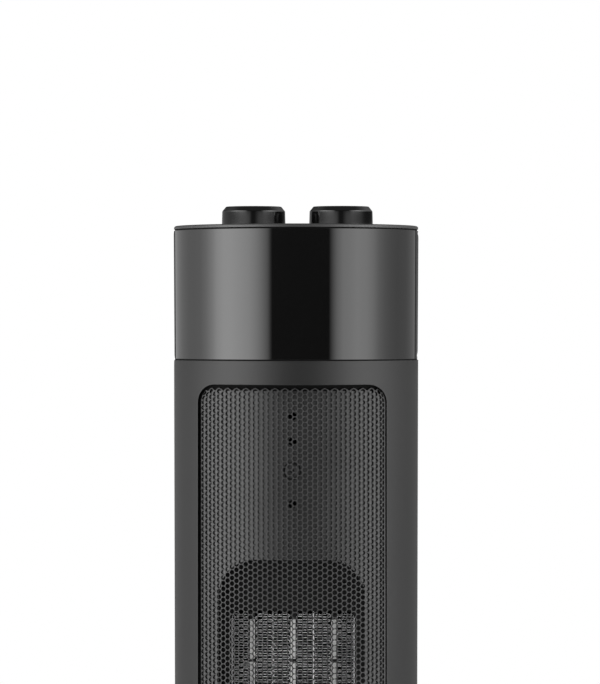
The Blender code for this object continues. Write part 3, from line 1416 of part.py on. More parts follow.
def loom_part(look):
    """The bound wires, one tube along a smooth curve through the route's points."""
    route = [Vector(p) for p in loom_route()]
    smooth = []
    steps = 3
    for k in range(len(route) - 1):
        before = route[max(k - 1, 0)]
        start, end = route[k], route[k + 1]
        after = route[min(k + 2, len(route) - 1)]
        for s in range(steps):
            t = s / steps
            smooth.append(
                0.5
                * (
                    2 * start
                    + (end - before) * t
                    + (2 * before - 5 * start + 4 * end - after) * t**2
                    + (3 * start - before - 3 * end + after) * t**3
                )
            )
    smooth.append(route[-1])
    curve = bpy.data.curves.new("wiring_loom", "CURVE")
    curve.dimensions = "3D"
    curve.bevel_depth = LOOM_RADIUS
    curve.bevel_resolution = 2
    curve.use_fill_caps = True
    line = curve.splines.new("POLY")
    line.points.add(len(smooth) - 1)
    for point, place in zip(line.points, smooth):
        point.co = (*place, 1)
    curve.materials.append(look["rubber"])
    obj = bpy.data.objects.new("wiring_loom", curve)
    bpy.context.scene.collection.objects.link(obj)


def build():
    clear_scene()
    look = finishes()
    base_parts(look)
    tip_switch_parts(look)
    pivot_parts(look)
    swing_parts(look)
    shell_parts(look)
    grille_parts(look)
    element_parts(look)
    fan_housing_parts(look)
    fan_parts(look)
    fan_motor_parts(look)
    head_parts(look)
    for kind in knob_places:
        knob_parts(look, kind)
    control_parts(look)
    small_control_parts(look)
    loom_part(look)


build()
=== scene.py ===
import json
import math

import bmesh
import bpy
import numpy as np
from mathutils import Matrix


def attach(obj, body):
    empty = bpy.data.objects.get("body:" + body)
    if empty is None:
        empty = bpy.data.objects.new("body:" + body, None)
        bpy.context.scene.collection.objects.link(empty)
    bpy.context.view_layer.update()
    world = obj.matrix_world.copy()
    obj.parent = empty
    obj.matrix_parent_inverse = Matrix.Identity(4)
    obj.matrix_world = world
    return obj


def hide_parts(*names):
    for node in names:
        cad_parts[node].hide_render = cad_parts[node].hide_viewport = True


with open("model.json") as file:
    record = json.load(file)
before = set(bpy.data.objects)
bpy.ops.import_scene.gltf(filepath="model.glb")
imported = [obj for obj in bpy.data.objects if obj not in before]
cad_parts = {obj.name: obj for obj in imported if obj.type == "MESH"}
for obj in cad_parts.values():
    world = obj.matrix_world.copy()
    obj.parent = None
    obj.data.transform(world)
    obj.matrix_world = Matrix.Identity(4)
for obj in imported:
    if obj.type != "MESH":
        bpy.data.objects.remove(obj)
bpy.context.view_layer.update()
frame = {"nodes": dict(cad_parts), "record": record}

# Sizes are in millimetres and become metres when a mesh is made.
# Angles round the tower are measured from the front, towards +X: x = r sin a and y = -r cos a.

bodyOf = {node: body for body, nodes in frame["record"]["behaviour"]["bodies"].items() for node in nodes}


def pick(size, names):
    # several values of a piece's dictionary, named in one string
    return [size[name] for name in names.split()]


# points and faces

def xyz(x, y, z):
    # points from three arrays or plain numbers
    return np.stack(np.broadcast_arrays(x, y, z), -1).astype(float)


def gridFaces(rows, columns, wrapRows=False, wrapColumns=False):
    # four corner numbers for each cell of a grid whose points are stored row by row
    row = np.arange(rows if wrapRows else rows - 1)[:, None]
    column = np.arange(columns if wrapColumns else columns - 1)[None, :]
    nextRow, nextColumn = (row + 1) % rows, (column + 1) % columns
    corners = [row * columns + column, row * columns + nextColumn,
               nextRow * columns + nextColumn, nextRow * columns + column]
    return np.stack(corners, -1).reshape(-1, 4)


def bandFaces(first, second):
    # faces between two closed loops of point numbers
    return np.stack([first, np.roll(first, -1, -1), np.roll(second, -1, -1), second], -1).reshape(-1, 4)


def walkRound(c0, c1, r0, r1):
    # the columns and rows met on the way round a block of cells, from its lower left corner on
    columns = [np.arange(c0, c1), np.full(r1 - r0, c1), np.arange(c1, c0, -1), np.full(r1 - r0, c0)]
    rows = [np.full(c1 - c0, r0), np.arange(r0, r1), np.full(c1 - c0, r1), np.arange(r1, r0, -1)]
    return np.concatenate(columns), np.concatenate(rows)


def ringSurface(rings, closed=False, startPole=None, endPole=None):
    # loops of as many points each, joined one to the next; a pole closes an end with a fan
    points = np.concatenate(rings)
    columns = len(rings[0])
    faces = [gridFaces(len(rings), columns, wrapRows=closed, wrapColumns=True)]
    around = np.arange(columns)
    for pole, first in ((startPole, 0), (endPole, (len(rings) - 1) * columns)):
        if pole is not None:
            tips = np.full(columns, len(points))
            faces.append(np.stack([first + around, first + np.roll(around, -1), tips], -1))
            points = np.concatenate([points, [pole]])
    return points, faces


def turnedSurface(profile, steps=96, centre=(0, 0)):
    # each (radius, height) of the profile is carried round: x = radius cos t, y = radius sin t
    profile = np.asarray(profile, float)
    turn = np.linspace(0, 2 * np.pi, steps, endpoint=False)
    poles = [(*centre, height) if radius == 0 else None for radius, height in (profile[0], profile[-1])]
    rings = [xyz(centre[0] + r * np.cos(turn), centre[1] + r * np.sin(turn), z)
             for r, z in profile[profile[:, 0] > 0]]
    return ringSurface(rings, closed=poles[0] is None, startPole=poles[0], endPole=poles[1])


def alongY(surface, x, z):
    # a surface turned round Z is laid down: its heights become Y, and its axis passes x and z
    points, faces = surface
    return xyz(points[:, 0] + x, points[:, 2], points[:, 1] + z), faces


def rodSurface(radius, start, end, steps=32, centre=(0, 0)):
    # a plain cylinder
    return turnedSurface([(0, start), (radius, start), (radius, end), (0, end)], steps, centre)


def boxSurface(x, y, z):
    # a plain block between three pairs of limits
    across, deep = np.array(x)[[0, 1, 1, 0]], np.array(y)[[0, 0, 1, 1]]
    points, faces = ringSurface([xyz(across, deep, height) for height in z])
    return points, [*faces, np.array([[3, 2, 1, 0], [4, 5, 6, 7]])]


def roundedOutline(corners, steps=5):
    # every corner (a, b, radius) with a radius becomes an arc that touches both of its edges
    line = []
    for k, (a, b, radius) in enumerate(corners):
        if radius == 0:
            line.append((a, b))
            continue
        corner = np.array((a, b), float)
        before = np.array(corners[k - 1][:2]) - corner
        after = np.array(corners[(k + 1) % len(corners)][:2]) - corner
        before, after = before / np.linalg.norm(before), after / np.linalg.norm(after)
        half = math.acos(np.clip(before @ after, -1, 1)) / 2
        middle = (before + after) / np.linalg.norm(before + after)
        centre = corner + middle * radius / math.sin(half)
        start = corner + before * radius / math.tan(half) - centre
        end = corner + after * radius / math.tan(half) - centre
        sweep = math.pi - 2 * half
        share = np.linspace(0, 1, steps + 1)[:, None]
        arc = (np.sin((1 - share) * sweep) * start + np.sin(share * sweep) * end) / math.sin(sweep)
        line.extend(map(tuple, centre + arc))
    return np.array(line)


def curveY(radius, axisY=0, facing=-1):
    # y as a function of x on an upright cylinder
    return lambda x: axisY + facing * np.sqrt(radius**2 - x**2)


class RoundRectangle:
    # an upright outline with round corners, from the lower right corner on, anticlockwise
    def __init__(self, size):
        width, height, corner, middleZ = pick(size, "width height corner middleZ")
        cornerSteps, acrossSteps, upSteps = size.get("steps", (10, 30, 24))
        points, normals, codes, shares = [], [], [], []
        signs = ((1, -1), (1, 1), (-1, 1), (-1, -1))
        centres = [(sx * (width / 2 - corner), middleZ + sz * (height / 2 - corner)) for sx, sz in signs]
        for number in range(4):
            turn = np.radians(np.linspace(-90 + 90 * number, 90 * number, cornerSteps + 1))
            normal = np.stack([np.cos(turn), np.sin(turn)], -1)
            arc = np.array(centres[number]) + corner * normal
            count = upSteps if number % 2 == 0 else acrossSteps
            share = np.linspace(0, 1, count + 1)[1:-1]
            nextStart = np.array(centres[(number + 1) % 4]) + corner * normal[-1]
            points += [arc, arc[-1] + (nextStart - arc[-1]) * share[:, None]]
            normals += [normal, np.tile(normal[-1], (count - 1, 1))]
            codes += [np.full(cornerSteps + 1, 2 * number), np.full(count - 1, 2 * number + 1)]
            shares += [np.linspace(0, 1, cornerSteps + 1), share]
        self.points, self.normals = np.concatenate(points), np.concatenate(normals)
        self.codes, self.shares = np.concatenate(codes), np.concatenate(shares)

    def grown(self, distance):
        # the outline moved outwards along its normals
        return (self.points + distance * self.normals).T

    def ring(self, distance, y, shift=0):
        # the outline, grown and shifted along X, as a loop of points; y is a number or a function of x
        x, z = self.grown(distance)
        x = x + shift
        return xyz(x, y(x) if callable(y) else y, z)

    def frameTargets(self, across, up, half, low, high):
        # for each point, the place it is joined to on the rectangle round it: straight out,
        # and for a round corner along one edge to the rectangle's corner and on along the other
        a, z = across.copy(), up.copy()
        a[self.codes == 1], a[self.codes == 5] = half, -half
        z[self.codes == 3], z[self.codes == 7] = high, low
        for code, sideA, sideZ, sideFirst in ((0, half, low, False), (2, half, high, True),
                                              (4, -half, high, False), (6, -half, low, True)):
            mask = self.codes == code
            first = np.clip(2 * self.shares[mask], 0, 1)
            second = np.clip(2 * self.shares[mask] - 1, 0, 1)
            (aStart, aEnd), (zStart, zEnd) = across[mask][[0, -1]], up[mask][[0, -1]]
            if sideFirst:
                a[mask] = sideA + (aEnd - sideA) * second
                z[mask] = zStart + (sideZ - zStart) * first
            else:
                a[mask] = aStart + (sideA - aStart) * first
                z[mask] = sideZ + (zEnd - sideZ) * second
        return a, z


# curved walls

def wallRadius(size, z):
    # a wall's outer radius changes evenly from its lower to its upper end
    share = (z - size["lowZ"]) / (size["highZ"] - size["lowZ"])
    return size["radiusLow"] + (size["radiusHigh"] - size["radiusLow"]) * share


def onWall(size, a, z, depth=0):
    # a place at some depth under the wall's face: x = r sin a and y = axis + facing * r cos a
    r = wallRadius(size, z) - depth
    return xyz(r * np.sin(a), size.get("axisY", 0) + size.get("facing", -1) * r * np.cos(a), z)


def windowedWall(size, window, lipY=None):
    # An upright curved wall with one window, as one closed surface: loops run from the wall's own
    # edge in over its face to the window, round the window's fillet and lip, back over the inner
    # face and round the edge.
    outline = RoundRectangle(window)
    low, high, wall, rounding, widest = pick(size, "lowZ highZ wall rounding radiusHigh")
    half, fillet, lip = math.radians(size["halfAngle"]), window["fillet"], window.get("lip", 0)
    edgeX, edgeZ = outline.grown(fillet)
    edgeAngle = np.arcsin(edgeX / wallRadius(size, edgeZ))

    def frameLoop(inset, a=edgeAngle, z=edgeZ):
        # the places on the wall's own edge, less the inset, that a loop's points are joined to
        return outline.frameTargets(a, z, half - inset / widest, low + inset, high - inset)

    outA, outZ = frameLoop(rounding)
    shares = [0, 0.012, *np.linspace(0.06, 0.94, window.get("faceSteps", 14)), 0.988, 1]  # close at the ends
    rings = [onWall(size, outA + (edgeAngle - outA) * s, outZ + (edgeZ - outZ) * s) for s in shares]
    for turn in np.radians((22.5, 45, 67.5, 90)):
        x, z = outline.grown(fillet * (1 - math.sin(turn)))
        straight = curveY(wallRadius(size, z), size.get("axisY", 0), size.get("facing", -1))
        rings.append(xyz(x, straight(x) - size.get("facing", -1) * fillet * (1 - math.cos(turn)), z))
    if lipY:
        rings += [outline.ring(0, lipY), outline.ring(lip, lipY)]
    lipX, lipZ = outline.grown(lip)
    innerAngle = np.arcsin(lipX / (wallRadius(size, lipZ) - wall))
    farA, farZ = frameLoop(rounding, innerAngle, lipZ)
    for s in np.linspace(0, 1, 8):
        rings.append(onWall(size, innerAngle + (farA - innerAngle) * s, lipZ + (farZ - lipZ) * s, wall))
    slant = rounding * (1 - math.sqrt(0.5))
    for inset, depth in ((slant, wall - slant), (0, wall - rounding), (0, rounding), (slant, slant)):
        rings.append(onWall(size, *frameLoop(inset), depth))
    return ringSurface(rings, closed=True)


def patchedWall(size, columnAngles, rowHeights, holes):
    # A wall on a lattice of angles and heights. Each hole takes over a block of cells: the block's
    # rim points are joined, loop by loop, to the hole's outline on the face, and through the wall.
    rows, columns, wall = len(rowHeights), len(columnAngles), size["wall"]
    angle, height = np.meshgrid(columnAngles, rowHeights)
    points = [onWall(size, angle, height, depth).reshape(-1, 3) for depth in (0, wall)]
    layer = rows * columns
    count = 2 * layer
    plain = np.ones((rows - 1, columns - 1), bool)
    bands = []
    for hole in holes:
        (c0, c1), (r0, r1), rounding = hole["columns"], hole["rows"], hole["rounding"]
        plain[r0:r1, c0:c1] = False
        rimColumn, rimRow = walkRound(c0, c1, r0, r1)
        across, up = 2 * (rimColumn - c0) / (c1 - c0) - 1, 2 * (rimRow - r0) / (r1 - r0) - 1
        rim = rimRow * columns + rimColumn
        loops = [rim]
        for grow, depth in ((rounding, 0), (0.3 * rounding, 0.3 * rounding), (0, rounding), (0, wall - 0.05),
                            (0, wall)):
            loops.append(count + np.arange(len(rim)))
            points.append(onWall(size, *hole["outline"](across, up, grow, size["radiusHigh"] - depth), depth))
            count += len(rim)
        loops.append(rim + layer)
        bands += [bandFaces(first, second) for first, second in zip(loops, loops[1:])]
    cells = gridFaces(rows, columns)[plain.ravel()]
    edgeColumn, edgeRow = walkRound(0, columns - 1, 0, rows - 1)
    edge = edgeRow * columns + edgeColumn
    return np.concatenate(points), [cells, cells[:, ::-1] + layer, bandFaces(edge, edge + layer), *bands]


def arcWall(size, step=1.6):
    # a plain curved wall: loops up its face and down its back, carried round by steps of about this
    # many degrees
    half, levels = size["halfAngle"], 5
    angles = np.radians(np.linspace(-half, half, round(2 * half / step) + 1))
    heights = np.linspace(size["lowZ"], size["highZ"], levels)
    depths = np.repeat([0, size["wall"]], levels)
    points = onWall(size, angles[:, None], np.append(heights, heights[::-1]), depths).reshape(-1, 3)
    low = np.arange(levels - 1)
    ends = np.stack([low, low + 1, 2 * levels - 2 - low, 2 * levels - 1 - low], -1)
    last = (len(angles) - 1) * 2 * levels
    return points, [gridFaces(len(angles), 2 * levels, wrapColumns=True), ends, ends[:, ::-1] + last]


# meshes and pieces

def smoothMesh(mesh):
    mesh.shade_smooth()
    mesh.set_sharp_from_angle(angle=math.radians(35))


def makeMesh(name, surfaces):
    # one mesh from several (points, faces); its shells are turned to face outwards
    points = np.concatenate([p for p, _ in surfaces]) * 0.001
    starts = np.cumsum([0] + [len(p) for p, _ in surfaces])
    groups = [group + start for start, (_, faces) in zip(starts, surfaces) for group in faces]
    loops = np.concatenate([g.ravel() for g in groups])
    totals = np.concatenate([np.full(len(g), g.shape[1]) for g in groups])
    mesh = bpy.data.meshes.new(name)
    mesh.vertices.add(len(points))
    mesh.vertices.foreach_set("co", points.astype(np.float32).ravel())
    mesh.loops.add(len(loops))
    mesh.loops.foreach_set("vertex_index", loops.astype(np.int32))
    mesh.polygons.add(len(totals))
    mesh.polygons.foreach_set("loop_start", (np.cumsum(totals) - totals).astype(np.int32))
    mesh.update(calc_edges=True)
    mesh.validate()
    work = bmesh.new()
    work.from_mesh(mesh)
    bmesh.ops.recalc_face_normals(work, faces=work.faces)
    work.to_mesh(mesh)
    work.free()
    smoothMesh(mesh)
    return mesh


def linkObject(name, mesh):
    made = bpy.data.objects.new(name, mesh)
    bpy.context.scene.collection.objects.link(made)
    return made


def cutMesh(mesh, cutters):
    # the mesh less the cutters' solids
    owner = linkObject("cutOwner", mesh)
    helpers = [owner]
    for surface in cutters:
        helper = linkObject("cutHelper", makeMesh("cutHelper", [surface]))
        modifier = owner.modifiers.new("cut", "BOOLEAN")
        modifier.operation = "DIFFERENCE"
        modifier.solver = "EXACT"
        modifier.object = helper
        helpers.append(helper)
    graph = bpy.context.evaluated_depsgraph_get()
    result = bpy.data.meshes.new_from_object(owner.evaluated_get(graph))
    result.name = mesh.name
    for helper in helpers:
        data = helper.data
        bpy.data.objects.remove(helper)
        bpy.data.meshes.remove(data)
    smoothMesh(result)
    return result


def paintFaces(mesh, finishNames, kinds):
    # kinds gives each face the place of its finish in the list
    for finishName in finishNames:
        mesh.materials.append(finishes[finishName])
    mesh.polygons.foreach_set("material_index", kinds.astype(np.int32))


def addPiece(name, shape, finishName, nodes, body=None):
    # a shown piece that rides with its CAD body and stands for the CAD nodes named; the shape is a
    # list of surfaces or a finished mesh
    mesh = makeMesh(name, shape) if isinstance(shape, list) else shape
    piece = linkObject(name, mesh)
    if finishName:
        mesh.materials.clear()
        mesh.materials.append(finishes[finishName])
    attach(piece, body or bodyOf[nodes[0]])
    if nodes:
        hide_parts(*nodes)
    return piece


def addBevel(piece, width):
    bevel = piece.modifiers.new("bevel", "BEVEL")
    bevel.width = width * 0.001
    bevel.segments = 2
    bevel.limit_method = "ANGLE"
    bevel.angle_limit = math.radians(50)
    bevel.harden_normals = True


# shader helpers

class Shade:
    # one value in a node tree; sums, products and so on add Math nodes
    def __init__(self, tree, socket=None):
        self.tree = tree
        self.socket = socket

    def fill(self, node, inputs):
        # sets a node's inputs: another Shade is linked, anything else is the value
        for key, value in inputs.items():
            if isinstance(value, Shade):
                self.tree.links.new(value.socket, node.inputs[key])
            else:
                node.inputs[key].default_value = value

    def node(self, kind, settings=None, inputs=None, output=0):
        made = self.tree.nodes.new(kind)
        for key, value in (settings or {}).items():
            setattr(made, key, value)
        self.fill(made, inputs or {})
        return Shade(self.tree, made.outputs[output])

    def math(self, operation, first, second=0.0):
        return self.node("ShaderNodeMath", {"operation": operation}, {0: first, 1: second})

    def vector(self, operation, first, second=(0, 0, 0), output=0):
        return self.node("ShaderNodeVectorMath", {"operation": operation}, {0: first, 1: second}, output)

    def __add__(self, other):
        return self.math("ADD", self, other)

    def __radd__(self, other):
        return self.math("ADD", other, self)

    def __sub__(self, other):
        return self.math("SUBTRACT", self, other)

    def __rsub__(self, other):
        return self.math("SUBTRACT", other, self)

    def __mul__(self, other):
        return self.math("MULTIPLY", self, other)

    def __rmul__(self, other):
        return self.math("MULTIPLY", other, self)

    def __truediv__(self, other):
        return self.math("DIVIDE", self, other)

    def __rtruediv__(self, other):
        return self.math("DIVIDE", other, self)

    def between(self, low, high, outLow=0.0, outHigh=1.0):
        # a smooth step from outLow to outHigh as the value goes from low to high
        return self.node("ShaderNodeMapRange", {"interpolation_type": "SMOOTHSTEP"},
                         {0: self, 1: low, 2: high, 3: outLow, 4: outHigh})


def blendColours(shade, factor, first, second):
    # from the first colour to the second; a plain number is a grey
    ends = [(*np.broadcast_to(colour, 3).tolist(), 1) for colour in (first, second)]
    return shade.node("ShaderNodeMix", {"data_type": "RGBA"}, {0: factor, 6: ends[0], 7: ends[1]}, output=2)


def stopRamp(shade, factor, stops):
    # brightness between (place, brightness) stops
    made = shade.node("ShaderNodeValToRGB", None, {0: factor})
    elements = made.socket.node.color_ramp.elements
    while len(elements) > 1:
        elements.remove(elements[-1])
    for number, (place, value) in enumerate(stops):
        element = elements.new(place) if number else elements[0]
        element.position = place
        element.color = (value, value, value, 1)
    return made


def noise(shade, place, millimetres, detail, stretch=None):
    # noise whose largest lumps are about as wide as this many millimetres
    if stretch:
        place = shade.vector("MULTIPLY", place, stretch)
    inputs = {"Vector": place, "Scale": 1000 / millimetres, "Detail": detail}
    return shade.node("ShaderNodeTexNoise", None, inputs)


def bump(shade, height, depth):
    # height from 0 to 1 raises the surface by up to depth millimetres
    return shade.node("ShaderNodeBump", None, {"Height": height, "Distance": depth * 0.001, "Strength": 1.0})


def newFinish(name, roughness, metallic=0.0):
    # a material, its shader, the wrapper for its node tree, and the object coordinates in metres
    material = bpy.data.materials.new(name)
    material.use_nodes = True
    shader = material.node_tree.nodes["Principled BSDF"]
    shade = Shade(material.node_tree)
    shade.fill(shader, {"Metallic": metallic, "Roughness": roughness})
    return material, shader, shade, shade.node("ShaderNodeTexCoord", output=3)


# finishes

def mouldedFinish(name, dark, light, roughness, spread, grain, depth, sheen=0.5):
    # moulded plastic or paint: faint drift in tone and sheen, and a fine surface grain
    material, shader, shade, place = newFinish(name, roughness)
    drift, fine = noise(shade, place, 42, 3), noise(shade, place, grain, 3)
    shade.fill(shader, {"Specular IOR Level": sheen,
                        "Base Color": blendColours(shade, drift.between(0.3, 0.7), dark, light),
                        "Roughness": (drift - 0.5) * spread + (fine - 0.5) * spread + roughness,
                        "Normal": bump(shade, fine, depth)})
    return material


def metalFinish(name, dark, light, roughness, grain, stretch, depth, metallic=1.0, sheen=0.5, spread=0.10):
    # rolled or drawn metal: streaks along one direction
    material, shader, shade, place = newFinish(name, roughness, metallic)
    streak, cloud = noise(shade, place, grain, 3, stretch), noise(shade, place, 9, 3)
    tone = (streak * 0.6 + cloud * 0.4).between(0.35, 0.65)
    shade.fill(shader, {"Specular IOR Level": sheen, "Base Color": blendColours(shade, tone, dark, light),
                        "Roughness": (streak - 0.5) * spread + (cloud - 0.5) * spread + roughness,
                        "Normal": bump(shade, streak, depth)})
    return material


def layeredFinish(name, roughness, metallic, layer, lump, layerShare, dark, light, smoothest, spread, depth):
    # sheets or wires one on the other, each this many millimetres high
    material, shader, shade, place = newFinish(name, roughness, metallic)
    height = shade.node("ShaderNodeSeparateXYZ", None, {0: place}, output=2)
    step = shade.math("PINGPONG", height, layer * 0.0005) * (2000 / layer)
    cloud = noise(shade, place, lump, 3)
    tone = step * layerShare + cloud * (1 - layerShare)
    shade.fill(shader, {"Base Color": blendColours(shade, tone, dark, light),
                        "Roughness": smoothest + cloud * spread, "Normal": bump(shade, step, depth)})
    return material


def panelFinish():
    # clear gloss over black: very slight waviness and a few faint wiped marks
    material, shader, shade, place = newFinish("panelGlossBlack", 0.05)
    drift, wiped = noise(shade, place, 55, 2), noise(shade, place, 16, 4, (1, 1, 0.35))
    shade.fill(shader, {"Base Color": blendColours(shade, drift, 0.0018, 0.0024),
                        "Roughness": 0.045 + wiped.between(0.55, 0.8) * 0.02,
                        "Normal": bump(shade, noise(shade, place, 14, 1), 0.0012)})
    return material


# material name, darkest and lightest tone, roughness and its spread, grain and its depth in mm, sheen
moulded = {
    "body": ("bodySatinBlack", 0.0062, 0.0070, 0.47, 0.04, 0.35, 0.004, 0.34),
    "cap": ("capSatinBlack", 0.0210, 0.0230, 0.42, 0.04, 0.35, 0.004, 0.44),
    # near black rings in the seams: painted shade in the gaps
    "seamShade": ("seamFoamBlack", 0.0020, 0.0035, 0.90, 0.04, 0.60, 0.060, 0.10),
    # a near black band in the gap round the mesh: painted shade under the opening's lip
    "gapShade": ("gapTapeBlack", 0.0024, 0.0032, 0.88, 0.04, 0.60, 0.020, 0.10),
    "base": ("baseSatinBlack", 0.0060, 0.0070, 0.49, 0.04, 0.35, 0.004, 0.30),
    "knob": ("knobBlack", 0.0020, 0.0026, 0.10, 0.04, 0.30, 0.0008),
    "mesh": ("meshPaint", 0.033, 0.039, 0.48, 0.06, 0.22, 0.006, 0.20),
    # the grille holes' walls: near black, painted shade inside the holes
    "meshHoleShade": ("meshPunchedEdge", 0.0065, 0.0085, 0.55, 0.06, 0.22, 0.006, 0.15),
    "liner": ("linerPaint", 0.020, 0.025, 0.38, 0.05, 0.30, 0.004, 0.42),
    "inner": ("innerBlack", 0.0045, 0.0060, 0.60, 0.08, 0.45, 0.008, 0.25),
    "rubber": ("blackRubber", 0.010, 0.013, 0.72, 0.08, 0.40, 0.012),
    "wire": ("wireSleeve", 0.008, 0.012, 0.50, 0.08, 0.60, 0.020),
    "white": ("whiteNylon", 0.62, 0.68, 0.45, 0.06, 0.35, 0.006),
    "grey": ("greyNylon", 0.18, 0.22, 0.48, 0.06, 0.35, 0.006),
    "mark": ("pointerPaint", 0.55, 0.62, 0.40, 0.06, 0.30, 0.003),
}
# material name, darkest and lightest colour, roughness, grain, its stretch and depth, metallic, sheen
metal = {
    "aluminium": ("finAluminium", (0.72, 0.72, 0.73), (0.90, 0.90, 0.91), 0.42, 0.8, (1, 0.12, 1), 0.004,
                  0.15),
    # the fins' side walls: aluminium painted near black, as painted shade in the gaps between the fins
    "finShade": ("finWallAluminium", 0.003, 0.007, 0.50, 0.8, (1, 0.12, 1), 0.004, 0.0, 0.05),
    "stone": ("heaterFacing", 0.54, (0.64, 0.64, 0.63), 0.46, 0.6, (1, 1, 0.15), 0.006, 0.15),
    "steel": ("zincSteel", (0.44, 0.44, 0.45), (0.58, 0.58, 0.59), 0.32, 0.5, (1, 1, 0.2), 0.003),
}
# material name, roughness, metallic, layer and lumps in mm, the layers' share of the tone, darkest and
# lightest colour, lowest roughness and its spread, bump in mm
layered = {
    "iron": ("coreIron", 0.50, 0.8, 0.5, 6, 0.6, (0.08, 0.08, 0.085), (0.26, 0.26, 0.27), 0.42, 0.15, 0.05),
    "copper": ("coilCopper", 0.32, 0.9, 0.3, 5, 0, (0.36, 0.13, 0.05), (0.62, 0.26, 0.12), 0.26, 0.14, 0.06),
}
finishes = {key: make(*row) for make, table in ((mouldedFinish, moulded), (metalFinish, metal),
                                                (layeredFinish, layered)) for key, row in table.items()}
finishes["panel"] = panelFinish()
print("finishes made:", len(finishes))


# tower shells

tower = {"lowZ": 28.5, "highZ": 444.55, "radiusLow": 86.2, "radiusHigh": 87.3, "wall": 2.5, "rounding": 0.3,
         "halfAngle": 89.9}
opening = {"width": 132.5, "height": 379.3, "corner": 12.4, "middleZ": 238.15, "fillet": 0.45, "lip": 1.6}
grilleAxisY = 21.384  # centre of the mesh's and the liner's flatter curve
linerRadius = 99.85

lipBack = curveY(linerRadius + 0.1, grilleAxisY)  # the opening's lip ends just in front of the liner
addPiece("frontShell", [windowedWall(tower, opening, lipBack)], "body", ["front_shell"])

slots = {"columns": 13, "pitch": 7.0, "halfWidth": 2.1, "halfLength": 47.0, "cellHalf": 51.0,
         "heights": (135.5, 237.5), "rounding": 0.5}
pocket = {"x": 78.9, "radius": 3.2, "bossRadius": 4.7, "bossReach": 85.3, "boreRadius": 1.8, "seatY": 8.0,
           "frontY": 0.2, "heights": (53.5, 419.1), "cellHalf": 8.0, "rounding": 0.3, "columns": (16, 40)}
# cells of the rear shell's lattice beside the slots, across a slot and up a hole, and its rim in mm
rearCells = {"side": 51, "slot": 8, "band": 8, "rim": 0.4}


def slotOutline(middleAngle, middleZ):
    # a slot with half-round ends, which take up the lower and the upper side of the block's rim
    def outline(across, up, grow, radius):
        halfWidth, halfLength = slots["halfWidth"] + grow, slots["halfLength"] + grow
        onEnd = np.abs(up) > 0.9999
        x = halfWidth * np.where(onEnd, np.sin(across * np.pi / 2), across)
        end = halfLength - halfWidth
        z = np.where(onEnd, np.sign(up) * (end + halfWidth * np.cos(across * np.pi / 2)), up * end)
        return middleAngle + np.arcsin(x / radius), middleZ + z
    return outline


def pocketOutline(side, middleZ):
    # where a straight round bore along Y comes out through the curved wall
    def outline(across, up, grow, radius):
        turn = np.arctan2(up, across)
        bore = pocket["radius"] + grow
        a = np.pi - np.arcsin((pocket["x"] - side * bore * np.cos(turn)) / radius)
        return (a if side > 0 else 2 * np.pi - a), middleZ + bore * np.sin(turn)
    return outline


def rearWall():
    half, low, high = pick(tower, "halfAngle lowZ highZ")
    count, pitch = pick(slots, "columns pitch")
    sideCells, slotCells, bandCells, rim = pick(rearCells, "side slot band rim")
    field = count * pitch / 2
    angles = np.radians(180 + np.concatenate([np.linspace(-half, -field, sideCells + 1)[:-1],
                                              np.linspace(-field, field, count * slotCells + 1),
                                              np.linspace(field, half, sideCells + 1)[1:]]))
    bands = [np.linspace(z - kind["cellHalf"], z + kind["cellHalf"], bandCells + 1)
             for kind in (pocket, slots) for z in kind["heights"]]
    heights = np.unique(np.round(np.concatenate([[low, low + rim, high - rim, high], *bands]), 6))
    holes = []

    def addHole(kind, z, start, end, outline):
        first = int(np.argmin(np.abs(heights - z + kind["cellHalf"])))
        holes.append({"columns": (start, end), "rows": (first, first + bandCells), "outline": outline,
                      "rounding": kind["rounding"]})

    for z in slots["heights"]:
        for k in range(count):
            start = sideCells + k * slotCells
            middle = math.radians(180 + pitch * (k - (count - 1) / 2))
            addHole(slots, z, start, start + slotCells, slotOutline(middle, z))
    start, end = pocket["columns"]
    last = len(angles) - 1
    for z in pocket["heights"]:
        addHole(pocket, z, start, end, pocketOutline(1, z))
        addHole(pocket, z, last - end, last - start, pocketOutline(-1, z))
    return patchedWall(tower, angles, heights, holes)


def screwBoss(side, height):
    # a tube along Y that ends inside the wall, wide at the back for the screw's head
    turn = np.linspace(0, 2 * np.pi, 40, endpoint=False)
    wide, bore, boss, seat, front = pick(pocket, "radius boreRadius bossRadius seatY frontY")
    reach = curveY(pocket["bossReach"], facing=1)
    rings = []
    for radius, y in ((wide, reach), (wide, seat), (bore, seat), (bore, front), (boss, front), (boss, reach)):
        x = pocket["x"] + radius * np.cos(turn)
        rings.append(xyz(side * x, y(x) if callable(y) else y, height + radius * np.sin(turn)))
    return ringSurface(rings, closed=True)


bosses = [screwBoss(side, z) for z in pocket["heights"] for side in (1, -1)]
addPiece("rearShell", [rearWall(), *bosses], "body", ["rear_shell"])
print("tower shells made")


# head

head = {"lowZ": 445.35, "highZ": 536.75, "radiusLow": 86.6, "radiusHigh": 87.15, "wall": 2.4, "rounding": 0.3,
        "halfAngle": 79.7}
rearCover = {**head, "radiusLow": 87.0, "radiusHigh": 87.55, "halfAngle": 99.9, "facing": 1}  # a little proud
grip = {"width": 94.0, "height": 28.0, "corner": 9.0, "middleZ": 494.2, "fillet": 1.0, "faceSteps": 22,
        "steps": (10, 26, 6)}
cup = {"wall": 2.0, "rimRadius": 84.5, "floorY": 59.0, "fillet": 3.0}
cap = {"top": 540.0, "under": 537.65, "radius": 87.3, "rounding": 1.4, "skirtRadius": 84.2, "skirtWall": 2.5,
       "skirtLow": 528.7, "plate": 2.6, "neckHole": 5.1, "flatEdge": 2.2}
shadeRing = {"inner": 84.4, "outer": 86.6, "play": 0.02, "rounding": 0.1}

panel = addPiece("headPanel", [arcWall(head)], "panel", ["head_front_panel"])
addBevel(panel, 0.25)
addPiece("headRearCover", [windowedWall(rearCover, grip)], "body", ["head_rear_cover"])
